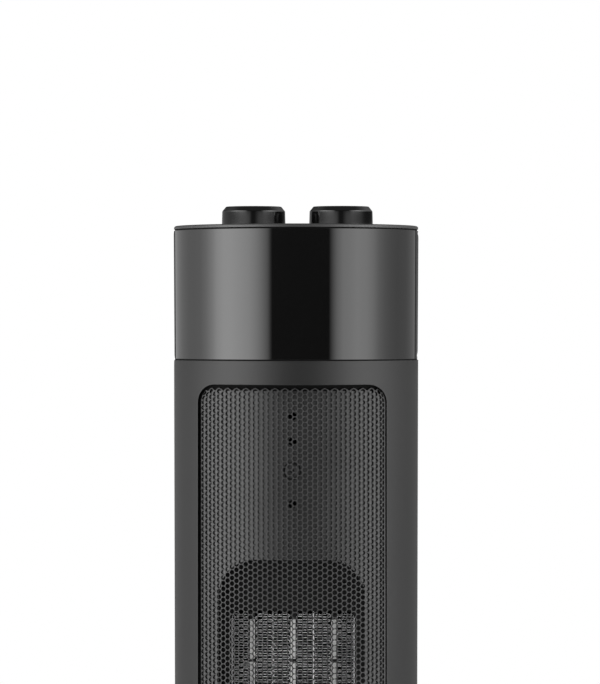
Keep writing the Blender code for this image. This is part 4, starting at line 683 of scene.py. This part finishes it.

# near black rings sunk in the seam between the tower and the head, and in the groove under the cap: painted
# shade in these gaps
seams = {"seamShadeRing": (tower["highZ"], head["lowZ"]), "capShadeRing": (head["highZ"], cap["under"])}
for name, (under, over) in seams.items():
    low, high = under + shadeRing["play"], over - shadeRing["play"]
    sides = ((shadeRing["inner"], low), (shadeRing["outer"], low), (shadeRing["outer"], high), (shadeRing["inner"], high))
    profile = roundedOutline([(*side, shadeRing["rounding"]) for side in sides], steps=2)
    addPiece(name, [turnedSurface(profile, 160)], "seamShade", [], body="tower")


def gripCup():
    # the grip's bowl: loops run from the floor's middle up the walls to the rim, and back outside
    outline = RoundRectangle(grip)
    floor, fillet, wall = pick(cup, "floorY fillet wall")
    middle = grip["middleZ"]
    rim = curveY(cup["rimRadius"], facing=1)
    turned = [(fillet * (math.cos(t) - 1), floor + fillet * (1 - math.sin(t)))
              for t in np.radians(np.linspace(90, 0, 6))]
    path = [(-fillet - 1, floor), *turned, (0, rim), (wall, rim), (wall, floor - wall + 1),
            (wall - 1, floor - wall), (-fillet - 1, floor - wall)]
    return ringSurface([outline.ring(grow, y) for grow, y in path], startPole=(0, floor, middle),
                       endPole=(0, floor - wall, middle))


addPiece("gripCup", [gripCup()], "body", ["handle_cup"])

knobPlaces = {"mode": (-31.5, 18.0), "thermostat": (31.5, 18.0)}
knob = {"low": 541.0, "high": 554.6, "radius": 22.95, "topRadius": 22.65, "chamferLow": 551.2,
        "faceRadius": 19.9, "rounding": 0.9, "lowRounding": 0.4, "wall": 2.2, "boss": 5.8, "bore": 3.3,
        "bossLow": 544.8, "markFrom": 7.0, "markTo": 19.2, "markHalf": 0.8, "markDepth": 0.6,
        "paintHigh": 0.35, "paintPlay": 0.04}
button = {"radius": 6.5, "gap": 0.6, "y": 52.0, "top": 542.4, "flangeLow": 535.9, "flangeHigh": 537.1,
          "flangeRadius": 7.7, "stemRadius": 2.0, "stemLow": 533.5}


def capMesh():
    top, under, radius, rounding, skirt, low = pick(cap, "top under radius rounding skirtRadius skirtLow")
    ceiling, inside = top - cap["plate"], skirt - cap["skirtWall"]
    corners = [(0, top, 0), (radius - cap["flatEdge"], top, 0), (radius, top, rounding), (radius, under, 0.2),
               (skirt, under, 0), (skirt, low, 0), (inside, low, 0), (inside, ceiling, 0), (0, ceiling, 0)]
    span = (ceiling - 3, top + 3)
    cuts = [rodSurface(cap["neckHole"], *span, centre=place) for place in knobPlaces.values()]
    cuts.append(rodSurface(button["radius"] + button["gap"], *span, 64, (0, button["y"])))
    return cutMesh(makeMesh("topCap", [turnedSurface(roundedOutline(corners, 6), 160)]), cuts)


addPiece("topCap", capMesh(), "cap", ["top_cap"])


def markSurface(x, y, low, high, shrink=0):
    # an upright slug with round ends, lying along Y in front of the knob's axis
    half, near, far = knob["markHalf"] - shrink, -knob["markFrom"] - shrink, -knob["markTo"] + shrink
    sides = ((-half, far), (half, far), (half, near), (-half, near))
    outline = roundedOutline([(*corner, 0.7 * half) for corner in sides], 4)
    middle = (x, y + (near + far) / 2)
    return ringSurface([xyz(x + outline[:, 0], y + outline[:, 1], z) for z in (low, high)],
                       startPole=(*middle, low), endPole=(*middle, high))


def knobMesh(kind):
    low, high, radius, top, chamfer, face = pick(knob, "low high radius topRadius chamferLow faceRadius")
    wall, boss, bore, bossLow = pick(knob, "wall boss bore bossLow")
    ceiling = high - wall
    corners = [(0, high, 0), (face - 1.5, high, 0), (face, high, knob["rounding"]), (top, chamfer, 1.1),
               (radius - 0.01, low + 1, 0), (radius, low, knob["lowRounding"]), (radius - wall, low, 0.3),
               (top - wall, chamfer - 1, 1), (face - 1.2, ceiling, 0.5), (boss, ceiling, 0),
               (boss, bossLow, 0.3), (bore, bossLow, 0), (bore, ceiling, 0), (0, ceiling, 0)]
    place = knobPlaces[kind]
    mesh = makeMesh(f"{kind}Knob", [turnedSurface(roundedOutline(corners, 8), 144, place)])
    return cutMesh(mesh, [markSurface(*place, high - knob["markDepth"], high + 1)])


for kind, place in knobPlaces.items():
    addPiece(f"{kind}Knob", knobMesh(kind), "knob", [f"{kind}_knob"])
    floor = knob["high"] - knob["markDepth"]
    paint = markSurface(*place, floor - 0.1, floor + knob["paintHigh"], knob["paintPlay"])
    addPiece(f"{kind}Pointer", [paint], "mark", [], body=bodyOf[f"{kind}_knob"])


def buttonSurface():
    # a dished top, a skirt, a flange that holds it under the cap, and a stem
    top, radius, flange, stem = pick(button, "top radius flangeRadius stemRadius")
    high, low, stemLow = pick(button, "flangeHigh flangeLow stemLow")
    corners = [(0, top - 0.35, 0), (2.6, top - 0.27, 3), (4.9, top, 1.2), (radius, top, 0.8),
               (radius, high, 0), (flange, high, 0), (flange, low, 0), (stem, low, 0), (stem, stemLow, 0),
               (0, stemLow, 0)]
    return turnedSurface(roundedOutline(corners), 72, (0, button["y"]))


addPiece("swingButton", [buttonSurface()], "knob", ["swing_button"])
print("head made")


# grille

grille = {"radius": 101.0, "lowZ": 51.65, "highZ": 425.65, "corner": 10.5, "sheet": 0.98, "left": 68.6,
          "right": 71.6, "aside": -0.45, "columnPitch": 3.51, "rowPitch": 3.885, "holeRadius": 1.77,
          "middleZ": 238.65, "firstU": -39, "lastU": 41, "lastV": 96, "border": 0.12, "shoulder": 0.8,
          "notch": 2.1, "lastEdge": 70.5, "lastSqueeze": 0.52}


def onGrille(across, up, radius):
    # across is measured along the curve and up from the lattice's middle row:
    # x = radius sin a, y = axis - radius cos a
    a = (across + grille["aside"]) / grille["radius"]
    return xyz(radius * np.sin(a), grilleAxisY - radius * np.cos(a), grille["middleZ"] + up)


def latticeBlock(u, v):
    # corner keys of the cells of a small lattice
    keys = np.stack(np.meshgrid(u, v, indexing="ij"), -1)
    return np.stack([keys[:-1, :-1], keys[1:, :-1], keys[1:, 1:], keys[:-1, 1:]], 2).reshape(-1, 4, 2)


def grilleSheet():
    # Cells as wide as the column pitch and as tall as the row pitch, every second column half a cell
    # higher. A cell has eight points on its rim, kept as whole numbers of half pitches so that
    # neighbours share them, and an eight-sided hole. Past the lattice's last lines lies the sheet's
    # edge, which at the top and the bottom is cut in scallops round the outermost holes.
    corner, firstU, lastU, lastV, pitch = pick(grille, "corner firstU lastU lastV columnPitch")
    upEdge, downEdge = grille["highZ"] - grille["middleZ"], grille["middleZ"] - grille["lowZ"]
    columns = np.arange(firstU + 1, lastU, 2)
    whole = columns % 4 == 0  # the columns with a cell's middle on the lattice's middle row
    centres = np.concatenate([
        np.stack(np.meshgrid(c, np.arange(start, -start + 1, 2), indexing="ij"), -1).reshape(-1, 2)
        for c, start in ((columns[~whole], -lastV + 1), (columns[whole], -lastV + 2))])
    rim = np.array([(-1, -1), (0, -1), (1, -1), (1, 0), (1, 1), (0, 1), (-1, 1), (-1, 0)])
    turns = np.radians(-135 + 45 * np.arange(8))
    hole = grille["holeRadius"] * 1.02 * np.stack([np.cos(turns), np.sin(turns)], -1)
    rimKeys = centres[:, None, :] + rim[None]
    plain = [latticeBlock([c - 1, c, c + 1], [v, v + 1]) for c in columns[whole] for v in (-lastV, lastV - 1)]
    ends = ([-lastV - 1, -lastV], [lastV, lastV + 1])
    for side in ([firstU - 1, firstU], [lastU, lastU + 1]):
        plain += [latticeBlock(side, v) for v in (np.arange(-lastV, lastV + 1), *ends)]
    plain = np.concatenate(plain + [latticeBlock(np.arange(firstU, lastU + 1), v) for v in ends])
    keys, index = np.unique(np.concatenate([rimKeys.reshape(-1, 2), plain.reshape(-1, 2)]), axis=0,
                            return_inverse=True)
    index = index.ravel()
    rimIndex = index[: len(centres) * 8].reshape(-1, 8)
    plainIndex = index[len(centres) * 8:].reshape(-1, 4)

    def flat(key):
        # the keys' places on the flat sheet; the last column on the right is narrower than the others
        ku, kv = key[..., 0], key[..., 1]
        before = (lastU - 2) * pitch / 2
        narrow = before + (ku - lastU + 2) / 2 * (grille["lastEdge"] - before)
        u = np.where(ku > lastU - 2, narrow, ku * pitch / 2)
        u = np.where(ku > lastU, grille["right"], np.where(ku < firstU, -grille["left"], u))
        drop = np.where(ku % 2 == 1, grille["shoulder"], np.where(ku % 4 == 0, grille["notch"], 0))
        edge = np.where(kv > 0, upEdge, downEdge) - drop - np.where(np.abs(kv) > lastV, 0, grille["border"])
        return u, np.where(np.abs(kv) >= lastV, np.sign(kv) * edge, kv * grille["rowPitch"] / 2)

    def roundCorners(u, v):
        # inside each corner's square the square is pressed into its quarter circle
        edgeU, edgeV = np.where(u > 0, grille["right"], grille["left"]), np.where(v > 0, upEdge, downEdge)
        p = np.clip((np.abs(u) - (edgeU - corner)) / corner, 0, None)
        q = np.clip((np.abs(v) - (edgeV - corner)) / corner, 0, None)
        both = (p > 0) & (q > 0)
        uNew = np.sign(u) * (edgeU - corner + corner * p * np.sqrt(1 - q**2 / 2))
        vNew = np.sign(v) * (edgeV - corner + corner * q * np.sqrt(1 - p**2 / 2))
        return np.where(both, uNew, u), np.where(both, vNew, v)

    latticeU, latticeV = roundCorners(*flat(keys))
    centreU, centreV = flat(centres)
    width = np.where(centres[:, :1] == lastU - 1, grille["lastSqueeze"], 1) * hole[:, 0]
    holeU, holeV = roundCorners(centreU[:, None] + width, centreV[:, None] + hole[:, 1])
    u, v = np.concatenate([latticeU, holeU.ravel()]), np.concatenate([latticeV, holeV.ravel()])
    layer = len(u)
    points = [onGrille(u, v, radius) for radius in (grille["radius"], grille["radius"] - grille["sheet"])]
    holeIndex = len(keys) + np.arange(len(centres) * 8).reshape(-1, 8)
    faces = []
    for sheet in (bandFaces(rimIndex, holeIndex), plainIndex):
        faces += [sheet, sheet[:, ::-1] + layer]
    order = {tuple(key): number for number, key in enumerate(keys.tolist())}
    walk = np.stack(walkRound(firstU - 1, lastU + 1, -lastV - 1, lastV + 1), -1)
    edge = np.array([order[tuple(key)] for key in walk.tolist()])
    faces += [bandFaces(edge, edge + layer), bandFaces(holeIndex, holeIndex + layer)]
    return np.concatenate(points), faces


def grilleMesh():
    # the punched holes' walls are the sheet's last group of faces and get a near black paint: painted shade
    # in the holes
    points, faces = grilleSheet()
    mesh = makeMesh("grilleMesh", [(points, faces)])
    total = len(mesh.polygons)
    paintFaces(mesh, ["mesh", "meshHoleShade"], np.arange(total) >= total - len(faces[-1]))
    return mesh


addPiece("grilleMesh", grilleMesh(), None, ["grille_mesh"])

# painted shade: a near black band on the liner in the gap round the mesh; for each edge its distance from the
# opening at the sides and above, its corner and its shift; low and high are heights over the liner
gapShade = {"outer": (0.06, 0.06, opening["corner"], 0), "inner": (2.0, 4.3, opening["corner"] - 1.0, 0.4),
        "low": 0.02, "high": 0.12}


def gapShadeRing(edge, height):
    aside, above, corner, shift = gapShade[edge]
    outline = RoundRectangle({**opening, "width": opening["width"] - 2 * aside,
                              "height": opening["height"] - 2 * above, "corner": corner})
    return outline.ring(0, curveY(linerRadius + gapShade[height], grilleAxisY), shift)


gapShadePath = (("outer", "low"), ("outer", "high"), ("inner", "high"), ("inner", "low"))
gapShadeSurface = ringSurface([gapShadeRing(*corner) for corner in gapShadePath], closed=True)
addPiece("gapShadeBand", [gapShadeSurface], "gapShade", [], body="tower")

liner = {"lowZ": 46.9, "highZ": 428.7, "radiusLow": linerRadius, "radiusHigh": linerRadius, "wall": 2.0,
         "rounding": 0.1, "halfAngle": math.degrees(math.asin(67.75 / linerRadius)), "axisY": grilleAxisY}
arch = {"width": 101.6, "height": 235.2, "corner": 26.0, "middleZ": 188.1, "fillet": 0.6}
vents = {"x": 1.2, "radius": 2.9, "heights": (406.0, 388.3, 344.9), "plugZ": 367.9, "plugRadius": 5.0,
         "plugHole": 6.4, "plugBore": 1.2, "plugSunk": 0.15, "flange": 7.8, "flangeWall": 1.2,
         "flangePlay": 0.1}
duct = {"wall": 1.6, "back": -46.3, "play": 0.3}


def linerMesh():
    span = (-90, -60)
    cuts = [alongY(rodSurface(vents["radius"], *span), vents["x"], z) for z in vents["heights"]]
    cuts.append(alongY(rodSurface(vents["plugHole"], *span, 48), vents["x"], vents["plugZ"]))
    return cutMesh(makeMesh("grilleLiner", [windowedWall(liner, arch)]), cuts)


def ventPlug():
    # a bored plug that stands in the larger hole with a gap round it, on a flange behind the liner
    bore, radius, flange = pick(vents, "plugBore plugRadius flange")
    face = grilleAxisY - linerRadius + vents["plugSunk"]
    back = grilleAxisY - linerRadius + liner["wall"] + vents["flangePlay"]
    end = back + vents["flangeWall"]
    corners = [(bore, end, 0.2), (bore, face, 0.2), (radius, face, 0.3), (radius, back, 0.1),
               (flange, back, 0.1), (flange, end, 0.2)]
    return alongY(turnedSurface(roundedOutline(corners, 3), 48), vents["x"], vents["plugZ"])


def ductTube():
    # the arch's outline carried straight back from the liner to the element's frame
    outline = RoundRectangle(arch)
    front, back = curveY(linerRadius - liner["wall"] - duct["play"], grilleAxisY), duct["back"]
    path = ((0, front), (0, back), (duct["wall"], back), (duct["wall"], front))
    return ringSurface([outline.ring(grow, y) for grow, y in path], closed=True)


addPiece("grilleLiner", linerMesh(), "liner", ["grille_liner"])
addPiece("ventPlug", [ventPlug()], "liner", [], body="tower")
addPiece("outletDuct", [ductTube()], "inner", ["outlet_duct"])
print("grille made")


# heating element

element = {"front": -43.2, "back": -28.2, "low": 108.1, "high": 268.1, "left": -43.45, "pitch": 28.7,
           "plate": 0.8, "plateProud": 0.35, "tube": 4.0, "tubeSunk": 0.7, "gap": 0.3, "foldPitch": 3.69,
           "sheet": 0.34, "wobble": 0.55, "stoneHigh": 262.2, "stoneLow": 114.0, "stoneGap": 2.2, "stones": 5,
           "stoneInset": 0.2, "stoneProud": 0.1, "stoneDeep": 3}
flange = (arch["width"] + 2 * duct["wall"], arch["height"] + 2 * duct["wall"], arch["corner"] + duct["wall"])
# width, height, corner and y of the frame's loops: flange, window with its fillet, pocket, flange
framePath = [(*flange, -46.0), (88.6, 161.7, 7.7, -46.0), (87.8, 160.9, 7.3, -45.8),
             (87.2, 160.3, 7.0, -45.2), (87.2, 160.3, 7.0, -43.5), (87.9, 161.0, 1.0, -43.5),
             (87.9, 161.0, 1.0, -25.5), (91.9, 165.0, 2.0, -25.5), (91.9, 165.0, 2.0, -43.5),
             (*flange, -43.5)]
frameRings = [RoundRectangle({"width": width, "height": height, "corner": corner, "middleZ": arch["middleZ"],
                              "steps": (6, 10, 12)}).ring(0, y) for width, height, corner, y in framePath]
addPiece("elementFrame", [ringSurface(frameRings, closed=True)], "inner", ["ptc_frame"])


def foldedFin(start, end):
    # One fin: near-level walls at half the fold pitch, joined by round bends at alternate sides, each
    # end a little up or down, as hand-loaded fins sit. The line is offset by half the sheet's
    # thickness both ways and carried from front to back.
    front, back, low, high, wobble = pick(element, "front back low high wobble")
    spacing, half = element["foldPitch"] / 2, element["sheet"] / 2
    bend = spacing / 2
    left, right = min(start, end) + bend + half, max(start, end) - bend - half
    number = np.arange(int((high - low) / spacing))[:, None]
    phase = np.array([[0.0, 1.3]]) + start
    stray = wobble * np.sin(2.4 * number + phase) * np.cos(0.7 * number - phase)
    ends = low + bend + spacing * number + stray
    turn = np.radians([-60, -20, 20, 60])
    forward = number % 2 == 0
    edgeX = np.where(forward, right, left)
    wallX = np.concatenate([np.where(forward, left, right), edgeX], 1)
    wallZ = np.where(forward, ends, ends[:, ::-1])
    rise = (np.append(ends[1:], [[0, 0]], 0) - ends) / 2
    rise = np.where(forward, rise[:, 1:], rise[:, :1])
    bendX = edgeX + np.where(forward, 1, -1) * rise * np.cos(turn)
    bendZ = wallZ[:, 1:] + rise * (1 + np.sin(turn))
    x = np.concatenate([wallX, bendX], 1).ravel()[:-4]
    z = np.concatenate([wallZ, bendZ], 1).ravel()[:-4]
    along = np.stack([np.gradient(x), np.gradient(z)], -1)
    along *= half / np.linalg.norm(along, axis=1)[:, None]
    loops = [xyz(x - sign * along[:, 1], y, z + sign * along[:, 0])
             for sign, y in ((1, front), (1, back), (-1, back), (-1, front))]
    last = 4 * (len(x) - 1)
    caps = np.array([[0, 1, 2, 3], [last + 3, last + 2, last + 1, last]])
    return np.stack(loops, 1).reshape(-1, 3), [gridFaces(len(x), 4, wrapColumns=True), caps]


def finBlock(k):
    # an upright plate with a fin on each side that faces a heating tube; faces that look ahead are light
    # aluminium, and the rest are painted near black as shade between the fins
    front, back, low, high, plate, pitch = pick(element, "front back low high plate pitch")
    at = element["left"] + k * pitch
    reach = (pitch - plate - element["tube"]) / 2 - element["gap"]
    surfaces = [boxSurface((at, at + plate), (front - element["plateProud"], back), (low, high))]
    if k > 0:
        surfaces.append(foldedFin(at, at - reach))
    if k < 3:
        surfaces.append(foldedFin(at + plate, at + plate + reach))
    mesh = makeMesh(f"finBlock{k + 1}", surfaces)
    facing = np.zeros(len(mesh.polygons) * 3, np.float32)
    mesh.polygons.foreach_get("normal", facing)
    paintFaces(mesh, ["aluminium", "finShade"], facing[1::3] > -0.7)
    return mesh


def facedTube(k):
    # a dark holder, and light heater pieces one above the other with short gaps between them
    front, back, low, high, plate, pitch = pick(element, "front back low high plate pitch")
    stoneHigh, stoneLow, gap, count = pick(element, "stoneHigh stoneLow stoneGap stones")
    centre, half = element["left"] + k * pitch + (pitch + plate) / 2, element["tube"] / 2
    holder = boxSurface((centre - half, centre + half), (front + element["tubeSunk"], back), (low, high))
    inner, step = half - element["stoneInset"], (stoneHigh - stoneLow + gap) / count
    wide = (centre - inner, centre + inner)
    deep = (front - element["stoneProud"], front + element["stoneDeep"])
    tops = stoneHigh - step * np.arange(count)
    return holder, [boxSurface(wide, deep, (top - step + gap, top)) for top in tops]


for k in range(4):
    addPiece(f"finBlock{k + 1}", finBlock(k), None, [f"fin_block_{k + 1}"])
for k in range(3):
    holder, pieces = facedTube(k)
    addPiece(f"heaterHolder{k + 1}", [holder], "inner", [], body="tower")
    addBevel(addPiece(f"heaterStack{k + 1}", pieces, "stone", [f"heating_tube_{k + 1}"]), 0.3)
print("element made")


# base

base = {"radius": 98.0, "top": 26.0, "low": 3.3, "edge": 4.5, "recess": 80.0, "deck": 17.0, "deckUnder": 14.5,
        "post": 13.0, "bore": 9.0, "postTop": 36.5, "ringUnder": 23.5, "inner": 95.5, "ringWall": 2.5,
        "track": ((-8.2, 8.2), (37.37, 76.2), (11, 20)), "glandHole": 6.3}
foot = {"inner": 75, "outer": 83, "high": 3}
gland = {"radius": 6.0, "bore": 3.7, "z": 14.0, "outer": 97.0, "inner": 84.0, "bell": 1.6}


def baseMesh():
    # a turned shell; the corners in the middle of its wall and of its rim keep their shading even
    radius, top, edge, recess, deck, post, low = pick(base, "radius top edge recess deck post low")
    bore, postTop, under, inner, ringUnder = pick(base, "bore postTop deckUnder inner ringUnder")
    ring = recess + base["ringWall"]
    corners = [(radius, low, 0.6), (radius, top - 8, 0), (radius, top, edge), (recess + 6, top, 0),
               (recess, top, 1.2), (recess, deck, 0.8), (post, deck, 0.6), (post, postTop, 0.5),
               (bore, postTop, 0.3), (bore, under, 0), (ring, under, 0), (ring, ringUnder, 0),
               (inner, ringUnder, 0), (inner, low, 0)]
    hole = alongY(rodSurface(base["glandHole"], 90, 101, 64), 0, gland["z"])
    return cutMesh(makeMesh("baseCover", [turnedSurface(roundedOutline(corners, 7), 180)]),
                   [boxSurface(*base["track"]), hole])


def footSurface():
    inner, outer, high = pick(foot, "inner outer high")
    corners = [(inner, 0, 0.8), (outer, 0, 0.8), (outer, high, 0.2), (inner, high, 0.2)]
    return turnedSurface(roundedOutline(corners), 160)


def glandSurface():
    # a grommet with a flared mouth, turned round an axis along Y
    bore, radius, inner, outer, bell = pick(gland, "bore radius inner outer bell")
    corners = [(bore, inner, 0.4), (radius, inner, 0.4), (radius, outer, 0.9), (bore, outer, bell)]
    return alongY(turnedSurface(roundedOutline(corners, 6), 64), 0, gland["z"])


addPiece("baseCover", baseMesh(), "base", ["base_cover"])
addPiece("footRing", [footSurface()], "rubber", ["rubber_foot_ring"])
addPiece("cordGland", [glandSurface()], "rubber", ["cord_gland"])

screw = {"head": 2.9, "headHeight": 1.8, "shank": 1.45, "thread": 0.22, "pitch": 0.9, "crossHalf": 1.6,
         "crossWall": 0.32, "crossDeep": 1.0, "shellLength": 19, "baseLength": 17.2, "baseRing": 88,
         "baseAngles": (0, 130, 230), "baseZ": 3.0}


def screwMesh(name, length, place, turn):
    # a pan head with a cross recess on a ridged shank, turned about X and then moved to its place
    shank, top, half, wall = pick(screw, "shank headHeight crossHalf crossWall")
    headCorners = roundedOutline([(0, top, 0), (2.0, top, 2.0), (screw["head"], 0.5, 0.5),
                                  (screw["head"], 0, 0.1), (shank, 0, 0)])
    thread = [point for z in np.arange(0.6, length - 1.2, screw["pitch"])
              for point in ((shank, -z), (shank - screw["thread"], -z - screw["pitch"] / 2))]
    profile = [*headCorners, *thread, (0.5, 0.2 - length), (0, -length)]
    deep = (top - screw["crossDeep"], top + 1)
    arms = [boxSurface((-a, a), (-b, b), deep) for a, b in ((half, wall), (wall, half))]
    mesh = cutMesh(makeMesh(name, [turnedSurface(profile, 32)]), arms)
    mesh.transform(Matrix.Translation(np.array(place) * 0.001) @ Matrix.Rotation(math.radians(turn), 4, "X"))
    return mesh


shellPlaces = [(side * pocket["x"], pocket["seatY"], z) for side in (-1, 1) for z in pocket["heights"]]
basePlaces = [(screw["baseRing"] * math.sin(a), -screw["baseRing"] * math.cos(a), screw["baseZ"])
              for a in np.radians(screw["baseAngles"])]
# the shell's screws look backwards, and the base's are turned over, with their heads below
for kind, places, turn in (("shell", shellPlaces, -90), ("base", basePlaces, 180)):
    for number, place in enumerate(places, 1):
        name = f"{kind}Screw{number}"
        addPiece(name, screwMesh(name, screw[f"{kind}Length"], place, turn), "steel",
                 [f"{kind}_screw_{number}"])
print("base made")

innerFinishes = {
    "inner": ["base_plate", "tower_floor", "fan_scroll", "fan_top_plate", "fan_bottom_plate", "head_deck"],
    "white": ["tip_plunger", "glide_washer", "swing_crank", "mode_switch"],
    "grey": ["tip_switch", "fan_impeller", "swing_switch"],
    "steel": ["pivot_collar", "swing_motor", "fan_shaft", "motor_lower_bracket", "motor_upper_bracket",
              "thermostat", "mode_nut", "thermostat_nut", "mode_shaft", "thermostat_shaft"],
    "copper": ["lower_bearing", "motor_coil"],
    "iron": ["motor_core"],
    "aluminium": ["thermal_cutout"],
    "wire": ["wiring_loom"],
}
for finishName, nodes in innerFinishes.items():
    for node in nodes:
        for slot in frame["nodes"][node].material_slots:
            slot.material = finishes[finishName]
print("CAD nodes dressed")


# studio

# the camera's distance and height are in metres and its sensor's width in millimetres; its focal length
# and shifts are in pixels of a picture this high
view = {"angle": 2.8, "distance": 2.755, "height": 0.473, "sensor": 36, "focal": 3850, "picture": 684,
        "shiftX": 3.9, "shiftY": -22}
# the disc is see-through past the second of the two distances in metres over which it fades
ground = {"radii": (300.0, 700.0, 1300.0), "z": -0.05, "fade": (0.45, 1.25), "tones": (0.80, 0.82)}
studioLight = {
    # brightness by direction, in degrees from behind the camera towards the picture's right
    "level": [(-180, 0.46), (-154, 0.60), (-135, 0.73), (-122, 0.88), (-112, 1.13), (-102, 1.49), (-94, 2.22),
              (-86, 3.44), (-80, 4.8), (-72, 5.8), (-64, 6.0), (-54, 5.6), (-45, 5.0), (-39, 4.2), (-33, 3.1),
              (-27, 1.75), (-23, 0.05), (31, 0.04), (35, 1.3), (39, 2.5), (45, 3.5), (60, 4.1), (70, 3.7),
              (77, 3.0), (85, 1.9), (93, 1.3), (101, 0.94), (111, 0.67), (127, 0.48), (150, 0.42),
              (180, 0.46)],
    # just above the level the lamps show narrower: what the knobs reflect
    "upper": [(-180, 0.28), (-147, 0.32), (-128, 0.38), (-114, 0.45), (-92, 0.50), (-79, 0.60), (-69, 0.76),
              (-60, 1.0), (-52, 1.22), (-46, 1.35), (-31, 1.40), (-24, 1.32), (-17, 1.1), (-12, 0.65),
              (-7, 0.14), (4, 0.12), (12, 0.5), (19, 0.92), (26, 1.10), (40, 1.15), (48, 1.05), (55, 0.85),
              (64, 0.7), (74, 0.55), (83, 0.34), (92, 0.13), (103, 0.05), (140, 0.04), (180, 0.28)],
    # well above and below the level there is more light from the right and less from behind on the left
    "wide": [(-180, 0.0), (-140, 0.3), (-115, 0.8), (-85, 1.18), (-50, 1.06), (15, 0.8), (45, 1.05),
             (72, 2.0), (100, 2.5), (125, 1.7), (160, 0.5), (180, 0.0)],
    "peak": 6.0, "widePeak": 2.5, "top": 0.2,
    # the heights in degrees over which each part sets in or fades
    "upperFrom": (1.5, 2.3), "upperTo": (6.5, 9.0), "wideFrom": (7.0, 11.0), "sideEnd": (30.0, 62.0),
}


def floorMaterial():
    # pale and plain, and fading out towards the disc's rim
    material, shader, shade, place = newFinish("floorPale", 0.6)
    distance = shade.vector("LENGTH", place, output=1)
    shade.fill(shader, {"Base Color": blendColours(shade, noise(shade, place, 3, 2), *ground["tones"]),
                        "Alpha": distance.between(*ground["fade"], 1.0, 0.0)})
    return material


def makeFloor():
    turn = np.linspace(0, 2 * np.pi, 96, endpoint=False)
    rings = [xyz(r * np.cos(turn), r * np.sin(turn), ground["z"]) for r in ground["radii"]]
    floor = linkObject("floor", makeMesh("floor", [ringSurface(rings, startPole=(0, 0, ground["z"]))]))
    if floor.data.polygons[0].normal.z < 0:
        floor.data.flip_normals()
    floor.data.materials.append(floorMaterial())


def makeStudio():
    # white to the camera; every other ray meets a plain soft studio
    world = bpy.data.worlds.new("studio")
    bpy.context.scene.world = world
    world.use_nodes = True
    tree = world.node_tree
    tree.nodes.clear()
    shade = Shade(tree)
    direction = shade.node("ShaderNodeTexCoord")
    turn = math.radians(view["angle"])
    ahead = shade.vector("DOT_PRODUCT", direction, (math.sin(turn), -math.cos(turn), 0), 1)
    aside = shade.vector("DOT_PRODUCT", direction, (math.cos(turn), math.sin(turn), 0), 1)
    place = shade.math("ARCTAN2", aside, ahead) / (2 * math.pi) + 0.5

    def band(name, peak):
        stops = [((angle + 180) / 360, value / peak) for angle, value in studioLight[name]]
        return stopRamp(shade, place, stops)

    level, upper = band("level", studioLight["peak"]), band("upper", studioLight["peak"])
    wide = band("wide", studioLight["widePeak"])
    height = shade.node("ShaderNodeSeparateXYZ", None, {0: direction}, output=2)
    start, end, away, up = (np.sin(np.radians(studioLight[name])).tolist()
                            for name in ("upperFrom", "upperTo", "wideFrom", "sideEnd"))
    share = height.between(*start) - height.between(*end)
    factor = (wide * studioLight["widePeak"] - 1) * shade.math("ABSOLUTE", height).between(*away) + 1
    side = (level + (upper - level) * share) * factor * (studioLight["peak"] * height.between(*up, 1.0, 0.0))
    brightness = side + height.between(*up, 0.0, studioLight["top"])
    light, white = (shade.node("ShaderNodeBackground", None, {"Color": (1, 1, 1, 1), "Strength": strength})
                    for strength in (brightness, 1.0))
    seen = shade.node("ShaderNodeLightPath")
    mixed = shade.node("ShaderNodeMixShader", None, {0: seen, 1: light, 2: white})
    shade.fill(tree.nodes.new("ShaderNodeOutputWorld"), {0: mixed})


def makeCamera():
    # level, looking at the tower's axis; the shifts place the axis and the horizon as in the photograph
    data = bpy.data.cameras.new("camera")
    data.sensor_width = view["sensor"]
    data.lens = view["focal"] / view["picture"] * view["sensor"]
    data.shift_x, data.shift_y = view["shiftX"] / view["picture"], view["shiftY"] / view["picture"]
    data.clip_start, data.clip_end = 0.1, 50
    camera = linkObject("camera", data)
    turn = math.radians(view["angle"])
    camera.location = (view["distance"] * math.sin(turn), -view["distance"] * math.cos(turn), view["height"])
    camera.rotation_euler = (math.pi / 2, 0, turn)
    bpy.context.scene.camera = camera


makeFloor()
makeStudio()
makeCamera()
bpy.context.scene.view_settings.view_transform = "Standard"
print("studio made")
